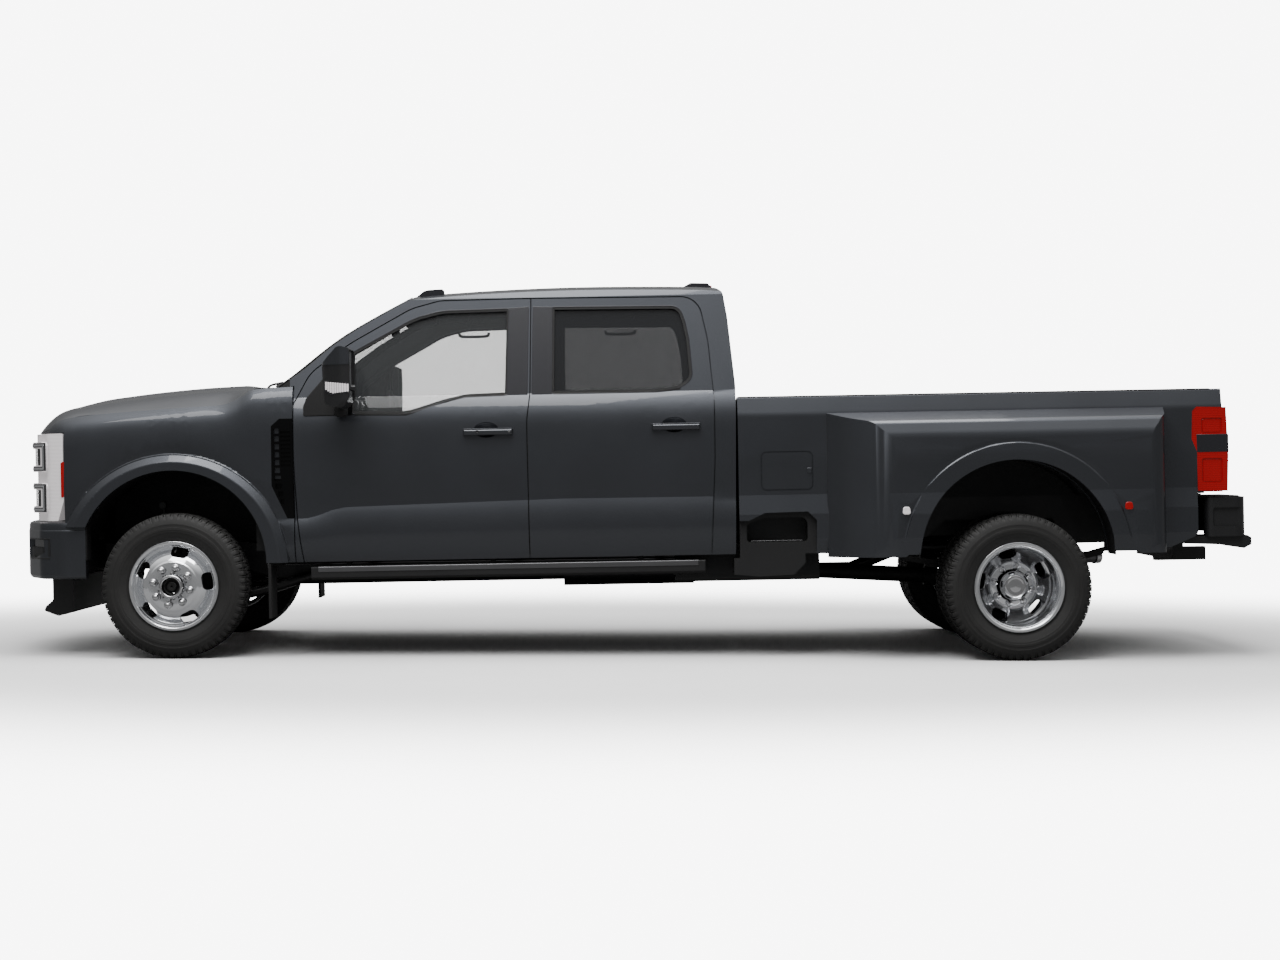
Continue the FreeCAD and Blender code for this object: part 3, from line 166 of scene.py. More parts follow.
@dataclass(frozen=True)
class Finish:
    """A surface finish: a principled shader with fine colour and bump detail."""

    name: str
    slot: str
    colour: Point3
    roughness: float = 0.5
    metallic: float = 0.0
    grain: float = 0.0
    grain_size: float = 0.002
    mottle: float = 0.08
    coat: float = 0.0
    coat_roughness: float = 0.04
    alpha: float = 1.0
    glow: float = 0.0
    dust: float = 0.0
    dust_colour: tuple[float, ...] = (0.16, 0.15, 0.14, 1.0)
    shine: float = 0.5

    def material(self) -> bpy.types.Material:
        """Material of this finish, made once.

        Returns:
            The material.
        """
        made = bpy.data.materials.get(self.name)
        if made:
            return made
        made = bpy.data.materials.new(self.name)
        made.use_nodes = True
        shader = made.node_tree.nodes["Principled BSDF"]
        values = {
            "Metallic": self.metallic, "Specular IOR Level": self.shine, "Coat Weight": self.coat,
            "Coat Roughness": self.coat_roughness, "Alpha": self.alpha,
        }
        if self.glow:
            values |= {"Emission Color": (*self.colour, 1.0), "Emission Strength": self.glow}
        for name, value in values.items():
            shader.inputs[name].default_value = value
        self.detail(made.node_tree, shader)
        return made

    def detail(self, tree: bpy.types.NodeTree, shader: bpy.types.Node) -> None:
        """Colour variation, roughness variation and grain.

        Args:
            tree: The material's nodes.
            shader: Its principled shader.
        """
        place = new_node(tree, "TexCoord")
        cloud = self.noise(tree, place, scale=3.0, detail=4.0)
        dark = (*[c * (1 - self.mottle) for c in self.colour], 1.0)
        light = (*[min(1.0, c * (1 + self.mottle)) for c in self.colour], 1.0)
        tint = new_node(tree, "Mix", data_type="RGBA")
        tint.inputs[6].default_value = dark
        tint.inputs[7].default_value = light
        wire(tree, (cloud, "Fac", tint, 0))
        colour = tint.outputs[2]
        if self.dust:
            colour = self.settled(tree, place, colour)
        tree.links.new(colour, shader.inputs["Base Color"])
        rough = new_node(tree, "MapRange", {
            "To Min": self.roughness * 0.9, "To Max": min(1.0, self.roughness * 1.12 + 0.01)})
        wire(tree, (cloud, "Fac", rough, "Value"), (rough, "Result", shader, "Roughness"))
        if self.grain:
            fine = self.noise(tree, place, scale=1.0 / self.grain_size, detail=3.0)
            self.bump(tree, shader, fine.outputs["Fac"], self.grain, depth=0.0006)

    def settled(
        self, tree: bpy.types.NodeTree, place: bpy.types.Node, colour: bpy.types.NodeSocket
    ) -> bpy.types.NodeSocket:
        """Colour with a thin patchy film of dust over it.

        Args:
            tree: The material's nodes.
            place: The texture coordinates.
            colour: The clean colour.

        Returns:
            The dusty colour.
        """
        patch = self.noise(tree, place, scale=9.0, detail=6.0)
        amount = new_node(tree, "MapRange", {"From Min": 0.45, "From Max": 0.75, "To Max": self.dust})
        mix = new_node(tree, "Mix", data_type="RGBA")
        mix.inputs[7].default_value = self.dust_colour
        wire(tree, (patch, "Fac", amount, "Value"), (amount, "Result", mix, 0))
        tree.links.new(colour, mix.inputs[6])
        return mix.outputs[2]

    @staticmethod
    def noise(tree: bpy.types.NodeTree, place: bpy.types.Node, scale: float, detail: float) -> bpy.types.Node:
        """Noise texture in the object's own coordinates.

        Args:
            tree: The material's nodes.
            place: The texture coordinates.
            scale: How fine it is.
            detail: How many finer layers it has.

        Returns:
            The noise node.
        """
        node = new_node(tree, "TexNoise", {"Scale": scale, "Detail": detail})
        wire(tree, (place, "Object", node, "Vector"))
        return node

    @staticmethod
    def bump(
        tree: bpy.types.NodeTree, shader: bpy.types.Node, height: bpy.types.NodeSocket,
        strength: float, depth: float,
    ) -> None:
        """Bump from a height socket, on the shader's normal.

        Args:
            tree: The material's nodes.
            shader: Its principled shader.
            height: Socket that gives the height.
            strength: Share of the bump that shows.
            depth: Its height in metres.
        """
        node = new_node(tree, "Bump", {"Strength": strength, "Distance": depth})
        tree.links.new(height, node.inputs["Height"])
        wire(tree, (node, "Normal", shader, "Normal"))


@dataclass(frozen=True)
class Weave(Finish):
    """Woven cloth with crossing threads."""

    thread: float = 0.0016

    def detail(self, tree: bpy.types.NodeTree, shader: bpy.types.Node) -> None:
        """Threads from two crossed wave patterns.

        Args:
            tree: The material's nodes.
            shader: Its principled shader.
        """
        super().detail(tree, shader)
        shader.inputs["Sheen Weight"].default_value = 0.4
        place = new_node(tree, "TexCoord")
        total = new_node(tree, "Math", operation="MULTIPLY")
        # A wave texture of scale 1 repeats about every 0.31 m, so this one takes near two threads to a wave.
        for index, axis in enumerate(("X", "Z")):
            wave = new_node(tree, "TexWave", {"Scale": 1.0 / (self.thread * 6.0)}, bands_direction=axis)
            wire(tree, (place, "Object", wave, "Vector"), (wave, "Fac", total, index))
        self.bump(tree, shader, total.outputs[0], strength=0.5, depth=0.0006)


@dataclass(frozen=True)
class Ribbed(Finish):
    """Lens or moulding with fine level ribs, close together."""

    pitch: float = 0.006
    depth: float = 0.0005

    def detail(self, tree: bpy.types.NodeTree, shader: bpy.types.Node) -> None:
        """Level ribs as a wave up the piece.

        Args:
            tree: The material's nodes.
            shader: Its principled shader.
        """
        super().detail(tree, shader)
        place = new_node(tree, "TexCoord")
        # A wave texture of scale 1 repeats about every 0.31 m.
        wave = new_node(tree, "TexWave", {"Scale": 1.0 / (self.pitch * 3.14)}, bands_direction="Z")
        wire(tree, (place, "Object", wave, "Vector"))
        self.bump(tree, shader, wave.outputs["Fac"], strength=0.6, depth=self.depth)


PAINT = Finish(
    "dark_grey_paint", "body_paint", (0.06, 0.064, 0.073), roughness=0.43, metallic=0.9, mottle=0.05,
    coat=0.7,
    grain=0.05, grain_size=0.0007)
SATIN = Finish(
    "satin_dark_grey", "black_plastic", (0.012, 0.012, 0.013), roughness=0.42, grain=0.2, grain_size=0.002)
BLACK_PLASTIC = Finish(
    "grained_black_plastic", "black_plastic", (0.007, 0.007, 0.0075), roughness=0.6, grain=0.35,
    grain_size=0.0016)
GLOSS_BLACK = Finish(
    "gloss_black", "gloss_black", (0.003, 0.003, 0.0035), roughness=0.16, mottle=0.1, coat=0.3)
DEEP_BLACK = Finish(
    "deep_black", "gloss_black", (0.0016, 0.0016, 0.0018), roughness=0.3, mottle=0.1, shine=0.18)
RUBBER = Finish(
    "weather_rubber", "rubber", (0.006, 0.006, 0.006), roughness=0.75, grain=0.3, grain_size=0.003)
TYRE = Finish(
    "tyre_rubber", "tyre", (0.013, 0.0127, 0.0123), roughness=0.66, grain=0.35, grain_size=0.004, mottle=0.2,
    dust=0.03)
ALLOY = Finish(
    "polished_alloy", "polished_alloy", (0.5, 0.49, 0.48), roughness=0.27, metallic=1.0, mottle=0.03,
    grain=0.04)
CHROME = Finish(
    "bright_chrome", "polished_alloy", (0.62, 0.62, 0.63), roughness=0.09, metallic=1.0, mottle=0.02)
MIRROR = Finish(
    "mirror_glass", "polished_alloy", (0.85, 0.86, 0.88), roughness=0.01, metallic=1.0, mottle=0.01)
CAST = Finish(
    "cast_metal", "cast", (0.025, 0.025, 0.025), roughness=0.6, metallic=0.6, grain=0.6, grain_size=0.006,
    mottle=0.25, dust=0.08)
STEEL = Finish(
    "dull_steel", "steel", (0.16, 0.16, 0.165), roughness=0.4, metallic=1.0, grain=0.15, mottle=0.15)
CHASSIS = Finish(
    "chassis_paint", "chassis_black", (0.005, 0.005, 0.0055), roughness=0.5, grain=0.2, grain_size=0.008,
    mottle=0.3, coat=0.1, dust=0.05)
CLEAR_GLASS = Finish("tinted_glass", "glass", (0.06, 0.063, 0.065), roughness=0.02, alpha=0.42, mottle=0.02)
SCREEN_GLASS = Finish("screen_glass", "glass", (0.04, 0.042, 0.044), roughness=0.02, alpha=0.5, mottle=0.02)
DARK_GLASS = Finish("privacy_glass", "glass", (0.02, 0.021, 0.023), roughness=0.03, alpha=0.72, mottle=0.02)
RED_LENS = Ribbed(
    "red_lens", "lamp_red", (0.3, 0.0012, 0.003), roughness=0.22, mottle=0.06, coat=0.1, glow=0.25,
    pitch=0.012)
WHITE_LENS = Ribbed(
    "white_lens", "lamp_clear", (0.82, 0.78, 0.79), roughness=0.22, mottle=0.05, coat=0.8, glow=0.35,
    pitch=0.02)
LAMP_FRAME = Finish(
    "lamp_frame", "gloss_black", (0.09, 0.09, 0.095), roughness=0.22, metallic=0.9, mottle=0.1, coat=0.5)
SMOKED_LENS = Finish("smoked_lens", "lamp_amber", (0.22, 0.19, 0.16), roughness=0.12, mottle=0.1, coat=0.6)
SMOKED_GLASS = Finish("smoked_glass", "glass", (0.01, 0.01, 0.011), roughness=0.04, alpha=0.72, mottle=0.05)
CLOTH = Weave("seat_cloth", "seat_cloth", (0.024, 0.025, 0.028), roughness=0.9, mottle=0.15)

NODES_OF_FINISH = (
    (SCREEN_GLASS, "cab_glass"),
    (CLEAR_GLASS, "door_glass_front_left door_glass_front_right"),
    (DARK_GLASS, "door_glass_rear_left door_glass_rear_right"),
    (WHITE_LENS, "headlamps"),
    (RED_LENS, "tail_lamps"),
    (GLOSS_BLACK, "grille roof_lamps"),
    (DEEP_BLACK, "fender_vents"),
    (SATIN, "air_dam rear_bumper mirror_left mirror_right"),
    (BLACK_PLASTIC, "cab_firewall wheel_liners fuel_tank running_boards side_steps"),
    (BLACK_PLASTIC, "dashboard bed_floor bed_front_wall"),
    (CHASSIS, "cab_floor radiator_support hitch_receiver frame bed_sills front_axle rear_axle suspension"),
    (CAST, "engine_block transmission knuckle_left knuckle_right"),
    (STEEL, "tie_rod exhaust"),
    (RUBBER, "mud_flaps"),
    (TYRE, "tyre_front_left tyre_front_right tyres_rear_left tyres_rear_right"),
    (ALLOY, "rim_front_left rim_front_right rims_rear_left rims_rear_right"),
    (CLOTH, "seats"),
)
NODE_FINISH = {name: finish for finish, names in NODES_OF_FINISH for name in names.split()}


def smooth(piece: bpy.types.Object, angle: float = 35.0) -> None:
    """Smooth shading that keeps edges sharper than an angle.

    Args:
        piece: The object to shade.
        angle: Edges turning by more than this many degrees stay sharp.
    """
    mesh = piece.data
    mesh.polygons.foreach_set("use_smooth", [True] * len(mesh.polygons))
    mesh.set_sharp_from_angle(angle=math.radians(angle))


def blended(piece: bpy.types.Object, angle: float = 30.0) -> None:
    """Shading that flows over the seams between a panel's surfaces.

    Args:
        piece: The object to shade.
        angle: Faces that meet at more than this many degrees keep their edge.
    """
    cells_per_metre = 20000
    mesh = piece.data
    limit = math.cos(math.radians(angle))
    meeting: dict[tuple[int, int, int], list[tuple[Vector, float]]] = {}
    spots = [tuple(round(c * cells_per_metre) for c in vert.co) for vert in mesh.vertices]
    for face in mesh.polygons:
        share = (face.normal.copy(), face.area)
        for index in face.vertices:
            meeting.setdefault(spots[index], []).append(share)
    normals = []
    for face in mesh.polygons:
        own = face.normal.copy()
        for index in face.vertices:
            total = Vector((0.0, 0.0, 0.0))
            for other, area in meeting[spots[index]]:
                if own.dot(other) > limit:
                    total += other * area
            normals.append(total.normalized() if total.length > 0 else own)
    mesh.normals_split_custom_set(normals)


def blend_at(stations: Sequence[Point2], at: float) -> float:
    """Value between stations (place, value), held at both ends.

    Args:
        stations: The (place, value) pairs in order of place.
        at: The place asked for.

    Returns:
        The value there.
    """
    if at <= stations[0][0]:
        return stations[0][1]
    for (a, x), (b, y) in zip(stations, stations[1:]):
        if at <= b:
            return x + (y - x) * (at - a) / (b - a)
    return stations[-1][1]


def rounded(corners: Corners, step_deg: float = 15.0) -> list[Vector]:
    """Outline with its corners turned into arcs.

    Args:
        corners: Points (u, v) or rounded points (u, v, radius).
        step_deg: Turn of each chord of an arc.

    Returns:
        The outline's points in order.
    """
    loop = []
    for i, corner in enumerate(corners):
        here = Vector(corner[:2])
        radius = corner[2] if len(corner) > 2 else 0.0
        back = Vector(corners[i - 1][:2]) - here
        ahead = Vector(corners[(i + 1) % len(corners)][:2]) - here
        half = back.angle(ahead) / 2
        if radius <= 0 or half > math.pi / 2 - 0.01:
            loop.append(here)
            continue
        reach = min(radius / math.tan(half), 0.49 * back.length, 0.49 * ahead.length)
        radius = reach * math.tan(half)
        centre = here + (back.normalized() + ahead.normalized()).normalized() * radius / math.sin(half)
        start = here + back.normalized() * reach - centre
        end = here + ahead.normalized() * reach - centre
        turn = math.atan2(start.x * end.y - start.y * end.x, start.dot(end))
        steps = max(1, round(abs(turn) / math.radians(step_deg)))
        loop += [centre + Matrix.Rotation(turn * k / steps, 2) @ start for k in range(steps + 1)]
    return loop


def oblong(u0: float, u1: float, v0: float, v1: float, radius: float = 0.0) -> Corners:
    """Corners of a rectangle, all rounded alike."""
    return [(u0, v0, radius), (u1, v0, radius), (u1, v1, radius), (u0, v1, radius)]


def ring_angles(count: int) -> list[float]:
    """Evenly spaced angles round a circle."""
    return [math.tau * k / count for k in range(count)]


def grown(loop: Sequence[Vector], by: float) -> list[Vector]:
    """Closed outline moved outwards by a distance, or inwards where it is negative.

    Args:
        loop: The outline's points.
        by: The distance.

    Returns:
        The moved points, one for each.
    """
    area = sum(a.x * b.y - a.y * b.x for a, b in zip(loop, [*loop[1:], loop[0]]))
    out = by if area > 0 else -by
    moved = []
    for i, here in enumerate(loop):
        into = (here - loop[i - 1]).normalized()
        away = (loop[(i + 1) % len(loop)] - here).normalized()
        a, b = Vector((into.y, -into.x)), Vector((away.y, -away.x))
        middle = (a + b).normalized() if (a + b).length > 1e-6 else a
        moved.append(here + middle * out / max(0.3, middle.dot(a)))
    return moved


def flowing(points: Sequence[Point3], per: int = 6) -> list[Vector]:
    """Smooth open curve through points.

    Args:
        points: Points that the curve passes through.
        per: Steps from one to the next.

    Returns:
        The curve's points.
    """
    spots = [Vector(p) for p in points]
    spots = [2 * spots[0] - spots[1], *spots, 2 * spots[-1] - spots[-2]]
    path = []
    for a, b, c, d in zip(spots, spots[1:], spots[2:], spots[3:]):
        for k in range(per):
            t = k / per
            path.append(0.5 * (2 * b + (c - a) * t + (2 * a - 5 * b + 4 * c - d) * t * t
                               + (3 * b - a - 3 * c + d) * t ** 3))
    return [*path, spots[-2]]


class Form:
    """A mesh drawn in millimetres from outlines, profiles and paths."""

    def __init__(self) -> None:
        """Starts an empty form."""
        self.mesh = bmesh.new()

    def rows(self, rows: Sequence[Sequence[Sequence[float]]], around: bool = True, along: bool = False,
             caps: bool = True) -> "Form":
        """Surface over rows of points.

        Args:
            rows: The rows, each with as many points.
            around: Whether each row closes on itself.
            along: Whether the last row joins the first.
            caps: Whether closed rows at the two ends are filled.

        Returns:
            The form.
        """
        grid = [[self.mesh.verts.new(p) for p in row] for row in rows]
        pairs = list(zip(grid, grid[1:])) + ([(grid[-1], grid[0])] if along else [])
        for a, b in pairs:
            count = len(a)
            for i in range(count if around else count - 1):
                j = (i + 1) % count
                self.mesh.faces.new((a[i], a[j], b[j], b[i]))
        if caps and around and not along:
            self.mesh.faces.new(grid[0])
            self.mesh.faces.new(grid[-1])
        return self

    def prism(
        self, corners: Corners, plane: Plane, low: float, high: float, step_deg: float = 15.0
    ) -> "Form":
        """Outline carried from one depth to another across its plane."""
        loop = rounded(corners, step_deg)
        return self.rows([[plane.place(p.x, p.y, w) for p in loop] for w in (low, high)])

    def hoop(
        self, corners: Corners, plane: Plane, low: float, high: float, out: float, into: float
    ) -> "Form":
        """Flat frame along an outline, from out beyond it to into within it.

        Args:
            corners: The outline.
            plane: The plane that it is drawn in.
            low: Depth of its one face.
            high: Depth of its other face.
            out: How far it reaches beyond the outline.
            into: How far it reaches within the outline.

        Returns:
            The form.
        """
        loop = rounded(corners)
        wide, slim = grown(loop, out), grown(loop, -into)
        rings = [(wide, low), (wide, high), (slim, high), (slim, low)]
        return self.rows([[plane.place(p.x, p.y, w) for p in ring] for ring, w in rings], along=True)

    def lathe(self, profile: Sequence[Point2], segments: int = 64, closed: bool = True) -> "Form":
        """Profile of (y, radius) turned about the Y axis.

        Args:
            profile: The (y, radius) points in order.
            segments: Steps round the axis.
            closed: Whether the profile closes on itself.

        Returns:
            The form.
        """
        rows = [[(r * math.sin(a), y, r * math.cos(a)) for y, r in profile] for a in ring_angles(segments)]
        self.rows(rows, around=closed, along=True)
        bmesh.ops.remove_doubles(self.mesh, verts=self.mesh.verts, dist=0.001)
        return self

    def cut(self, tool: "Form") -> "Form":
        """Takes another closed form out of this one.

        Args:
            tool: The form to take away.

        Returns:
            What is left of the form.
        """
        solids = []
        for form in (self, tool):
            bmesh.ops.recalc_face_normals(form.mesh, faces=form.mesh.faces)
            data = bpy.data.meshes.new("cutting")
            form.mesh.to_mesh(data)
            solids.append(bpy.data.objects.new("cutting", data))
            bpy.context.scene.collection.objects.link(solids[-1])
        change = solids[0].modifiers.new("cut", "BOOLEAN")
        change.operation, change.object = "DIFFERENCE", solids[1]
        made = bpy.data.meshes.new_from_object(solids[0].evaluated_get(bpy.context.evaluated_depsgraph_get()))
        self.mesh.clear()
        self.mesh.from_mesh(made)
        for solid in solids:
            bpy.data.objects.remove(solid)
        return self

    def tube(self, path: Sequence[Sequence[float]], radius: float, sides: int = 10, closed: bool = False,
             flat: float = 1.0) -> "Form":
        """Round or flattened bar along a path.

        Args:
            path: The points that it follows.
            radius: Its radius.
            sides: Points round it.
            closed: Whether the path closes on itself.
            flat: Its height over its width.

        Returns:
            The form.
        """
        spots = [Vector(p) for p in path]
        across = None
        rows = []
        for i, here in enumerate(spots):
            ahead = spots[(i + 1) % len(spots)] if closed or i + 1 < len(spots) else here
            behind = spots[i - 1] if closed or i else here
            along = (ahead - behind).normalized()
            if across is None:
                across = along.orthogonal() if abs(along.y) > 0.9 else along.cross(Vector((0, 1, 0)))
            across = (across - along * across.dot(along)).normalized()
            up = along.cross(across)
            ring = ring_angles(sides)
            rows.append(
                [here + across * radius * math.cos(a) + up * radius * flat * math.sin(a) for a in ring])
        return self.rows(rows, along=closed)

    def move(self, x: float = 0.0, y: float = 0.0, z: float = 0.0) -> "Form":
        """Shifts everything drawn so far."""
        bmesh.ops.translate(self.mesh, vec=(x, y, z), verts=self.mesh.verts)
        return self

    def turn(self, degrees: float, axis: str, about: Point3 = (0.0, 0.0, 0.0)) -> "Form":
        """Turns everything drawn so far about an axis through a point.

        Args:
            degrees: Angle of the turn.
            axis: X, Y or Z.
            about: Point that the axis passes.

        Returns:
            The form.
        """
        matrix = Matrix.Rotation(math.radians(degrees), 3, axis)
        bmesh.ops.rotate(self.mesh, cent=about, matrix=matrix, verts=self.mesh.verts)
        return self

    def repeated(self, count: int, place: Callable[[int, list[bmesh.types.BMVert]], None]) -> "Form":
        """Copies everything drawn so far and places each copy.

        Args:
            count: How many there are in the end.
            place: Moves the points of the copy with a number.

        Returns:
            The form.
        """
        first = self.mesh.verts[:] + self.mesh.edges[:] + self.mesh.faces[:]
        for k in range(1, count):
            made = bmesh.ops.duplicate(self.mesh, geom=first)["geom"]
            place(k, [part for part in made if isinstance(part, bmesh.types.BMVert)])
        return self

    def spin(self, count: int) -> "Form":
        """Repeats everything drawn so far around the Y axis.

        Args:
            count: How many there are in the end.

        Returns:
            The form.
        """
        def place(k: int, verts: list[bmesh.types.BMVert]) -> None:
            """Turns one copy."""
            matrix = Matrix.Rotation(math.tau * k / count, 3, "Y")
            bmesh.ops.rotate(self.mesh, cent=(0, 0, 0), matrix=matrix, verts=verts)

        return self.repeated(count, place)

    def array(self, count: int, x: float = 0.0, y: float = 0.0, z: float = 0.0) -> "Form":
        """Repeats everything drawn so far in a straight line.

        Args:
            count: How many there are in the end.
            x: Step along X.
            y: Step along Y.
            z: Step along Z.

        Returns:
            The form.
        """
        def place(k: int, verts: list[bmesh.types.BMVert]) -> None:
            """Shifts one copy."""
            bmesh.ops.translate(self.mesh, vec=(x * k, y * k, z * k), verts=verts)

        return self.repeated(count, place)

    def shape(self, change: Callable[[Vector], Sequence[float]]) -> "Form":
        """Passes every point through a function.

        Args:
            change: Gives a point's new place.

        Returns:
            The form.
        """
        for vert in self.mesh.verts:
            vert.co = change(vert.co)
        return self

    def add(self, other: "Form") -> "Form":
        """Takes in another form's mesh.

        Args:
            other: The form to take in.

        Returns:
            The form.
        """
        spare = bpy.data.meshes.new("spare")
        other.mesh.to_mesh(spare)
        self.mesh.from_mesh(spare)
        bpy.data.meshes.remove(spare)
        return self

    def piece(self, name: str, finish: Finish, body: str = "truck", place: Matrix = BODY,
              side: Side = Side.RIGHT, bevel: float = 0.0, sharp: float = 35.0,
              replaces: Sequence[str] = ()) -> bpy.types.Object:
        """Blender object of the form, riding on a body.

        Args:
            name: The piece's name.
            finish: Its finish.
            body: The body that it moves with.
            place: Matrix from the form's frame to the row frame.
            side: The side that it stands on; the left is mirrored.
            bevel: Width of its softened edges.
            sharp: Edges turning by more degrees stay sharp.
            replaces: Nodes that it stands for.

        Returns:
            The object.
        """
        work = self.mesh.copy()
        if side is Side.LEFT:
            bmesh.ops.scale(work, vec=(1, -1, 1), verts=work.verts)
        bmesh.ops.transform(work, matrix=place, verts=work.verts)
        bmesh.ops.recalc_face_normals(work, faces=work.faces)
        data = bpy.data.meshes.new(name)
        work.to_mesh(data)
        work.free()
        made = bpy.data.objects.new(name, data)
        bpy.context.scene.collection.objects.link(made)
        data.materials.append(finish.material())
        smooth(made, sharp)
        if bevel:
            edge = made.modifiers.new("soft_edges", "BEVEL")
            edge.width = bevel / 1000.0
            edge.segments = 2
            edge.limit_method = "ANGLE"
            edge.angle_limit = math.radians(sharp)
        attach(made, body)
        if replaces:
            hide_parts(*replaces)
        LOG.info("%s: %d faces on %s", name, len(data.polygons), body)
        return made

    def pair(
        self, name: str, finish: Finish, body: str = "truck", **settings: object
    ) -> list[bpy.types.Object]:
        """The form on both sides, with the side's name put in for {}.

        Args:
            name: The pieces' name, without the side.
            finish: Their finish.
            body: The body's name, with {} for the side where there are two.
            settings: Passed to piece.

        Returns:
            The left and right objects.
        """
        made = []
        for side in Side:
            nodes = [node.format(side.tag) for node in settings.get("replaces", ())]
            rest = {**settings, "replaces": nodes}
            made.append(self.piece(f"{name}_{side.tag}", finish, body.format(side.tag), side=side, **rest))
        return made


def skin_y(z: float) -> float:
    """Half width of the cab's doors at a height."""
    return blend_at([
        (498, 975), (572, 1008), (707, 1015), (811, 1000), (960, 1010), (1130, 1013), (1270, 1005),
        (1325, 990), (1376, 966), (1900, 848),
    ], z)


def on_skin(point: Vector) -> Vector:
    """Point whose depth is measured from the doors' skin."""
    return Vector((point.x, point.y + skin_y(point.z), point.z))


@dataclass(frozen=True)
class CadDress:
    """Gives every carried-over node its finish and shading."""

    sharp: float = 28.0
    panels: tuple[str, ...] = (
        "front_fenders", "hood", "bed_sides", "cab_roof", "cab_pillars", "front_bumper", "fuel_door",
        "tailgate", "door_panel_front_left", "door_panel_front_right", "door_panel_rear_left",
        "door_panel_rear_right",
    )

    def dress(self) -> None:
        """Paints the nodes and shades them smooth."""
        for name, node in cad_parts.items():
            finish = NODE_FINISH.get(name, PAINT)
            node.data.materials.clear()
            node.data.materials.append(finish.material())
            smooth(node, self.sharp)
            if name in self.panels:
                blended(node)
        LOG.info("dressed %d nodes", len(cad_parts))


@dataclass(frozen=True)
class Tyres:
    """Six all-terrain tyres with stepped sidewalls and blocks on the tread."""

    radius: float = 386.0
    base: float = 377.0
    pitches: int = 60
    front_y: float = 950.0
    dual_y: float = 940.0
    dual_half: float = 141.0
    half_tread: float = 108.0
    crown_drop: float = 7.0
    shoulder_from: float = 96.0
    shoulder_foot: Point2 = (116.0, 352.0)
    wall: tuple[Point2, ...] = (
        (97.7, 217), (97.9, 236), (103, 243), (109, 254), (114, 270), (118.5, 286), (120, 287), (121, 298),
        (122.4, 299), (122.4, 311), (121, 312), (120.4, 326), (121.4, 327), (120.6, 334), (119.4, 335),
        (116.5, 350), (110.5, 362), (102, 371), (70, 376), (30, 377.5),
    )
    lining: tuple[Point2, ...] = ((84, 217), (90, 250), (106, 300), (98, 348), (50, 366))

    def crown(self, u: float) -> float:
        """Radius of the tread's face at a distance from its middle."""
        return self.radius - 0.4 - self.crown_drop * (abs(u) / self.half_tread) ** 3.2

    def carcass(self) -> Form:
        """Sidewalls and tread base as one turned ring.

        Returns:
            The ring.
        """
        right, lining = list(self.wall), list(self.lining)
        profile = right + [(-u, r) for u, r in reversed(right)]
        profile += [(-u, r) for u, r in lining] + list(reversed(lining))
        return Form().lathe(profile, 144)

    def block(self, form: Form, corners: Corners, mirrored: bool, ahead: float) -> None:
        """One tread block, from a rounded outline in (across, along) millimetres.

        Args:
            form: The form that takes it.
            corners: The outline on the tread's right half.
            mirrored: Whether it stands on the left half.
            ahead: How far along the tread it stands, in millimetres.
        """
        way = -1.0 if mirrored else 1.0
        rings = []
        for depth in (0.0, 0.82, 1.0):
            ring = []
            for p in rounded(corners, 60.0):
                u, s = p.x, (p.y + ahead) / self.radius
                r = self.crown(u)
                foot_u, foot_r = self.shoulder_foot if u > self.shoulder_from else (u, self.base - 2)
                if depth < 1.0:
                    u, r = u + (foot_u - u) * (1 - depth), r + (foot_r - r) * (1 - depth)
                else:
                    middle = sum((Vector(c[:2]) for c in corners), Vector((0, 0))) / len(corners)
                    u, s = u + (middle.x - u) * 0.05, s + (middle.y - p.y) * 0.05 / self.radius
                ring.append((r * math.sin(s), way * u, r * math.cos(s)))
            rings.append(ring)
        form.rows(rings)

    def tread(self) -> Form:
        """All the blocks round the tread.

        Returns:
            The blocks.
        """
        pitch = math.tau * self.radius / self.pitches
        form = Form()
        shoulder = [
            (66, 1, 3), (88, -4, 3), (106, -3, 2), (106, 0.52 * pitch, 2), (88, 0.5 * pitch, 3),
            (70, 0.56 * pitch, 3)]
        short = [(74, 0.7 * pitch, 2), (101, 0.64 * pitch, 2), (101, 0.84 * pitch, 2), (76, 0.88 * pitch, 2)]
        inner = [
            (26, 2, 3), (44, -5, 2), (60, 5, 3), (56, 0.42 * pitch, 3), (40, 0.58 * pitch, 3),
            (28, 0.46 * pitch, 2)]
        slim = [(30, 0.66 * pitch, 2), (52, 0.7 * pitch, 2), (58, 0.88 * pitch, 2), (34, 0.82 * pitch, 2)]
        centre = [
            (-19, 3, 3), (4, -6, 3), (17, 6, 3), (13, 0.44 * pitch, 2), (18, 0.74 * pitch, 3),
            (-4, 0.8 * pitch, 3), (-14, 0.5 * pitch, 2)]
        for corners in (shoulder, short, inner, slim):
            self.block(form, corners, False, 0.0)
            self.block(form, corners, True, 0.5 * pitch)
        self.block(form, centre, False, 0.2 * pitch)
        return form.spin(self.pitches)

    def build(self) -> None:
        """Makes the front tyres and the rear pairs."""
        one = self.carcass().add(self.tread())
        one.move(y=self.front_y).pair(
            "tread_tyre_front", TYRE, "front_wheel_{}", place=FRONT_AXLE, sharp=32.0,
            replaces=("tyre_front_{}",))
        one.move(y=self.dual_y - self.dual_half - self.front_y).array(2, y=2 * self.dual_half)
        one.pair("tread_tyres_rear", TYRE, "rear_wheels_{}", place=REAR_AXLE, sharp=32.0,
                 replaces=("tyres_rear_{}",))


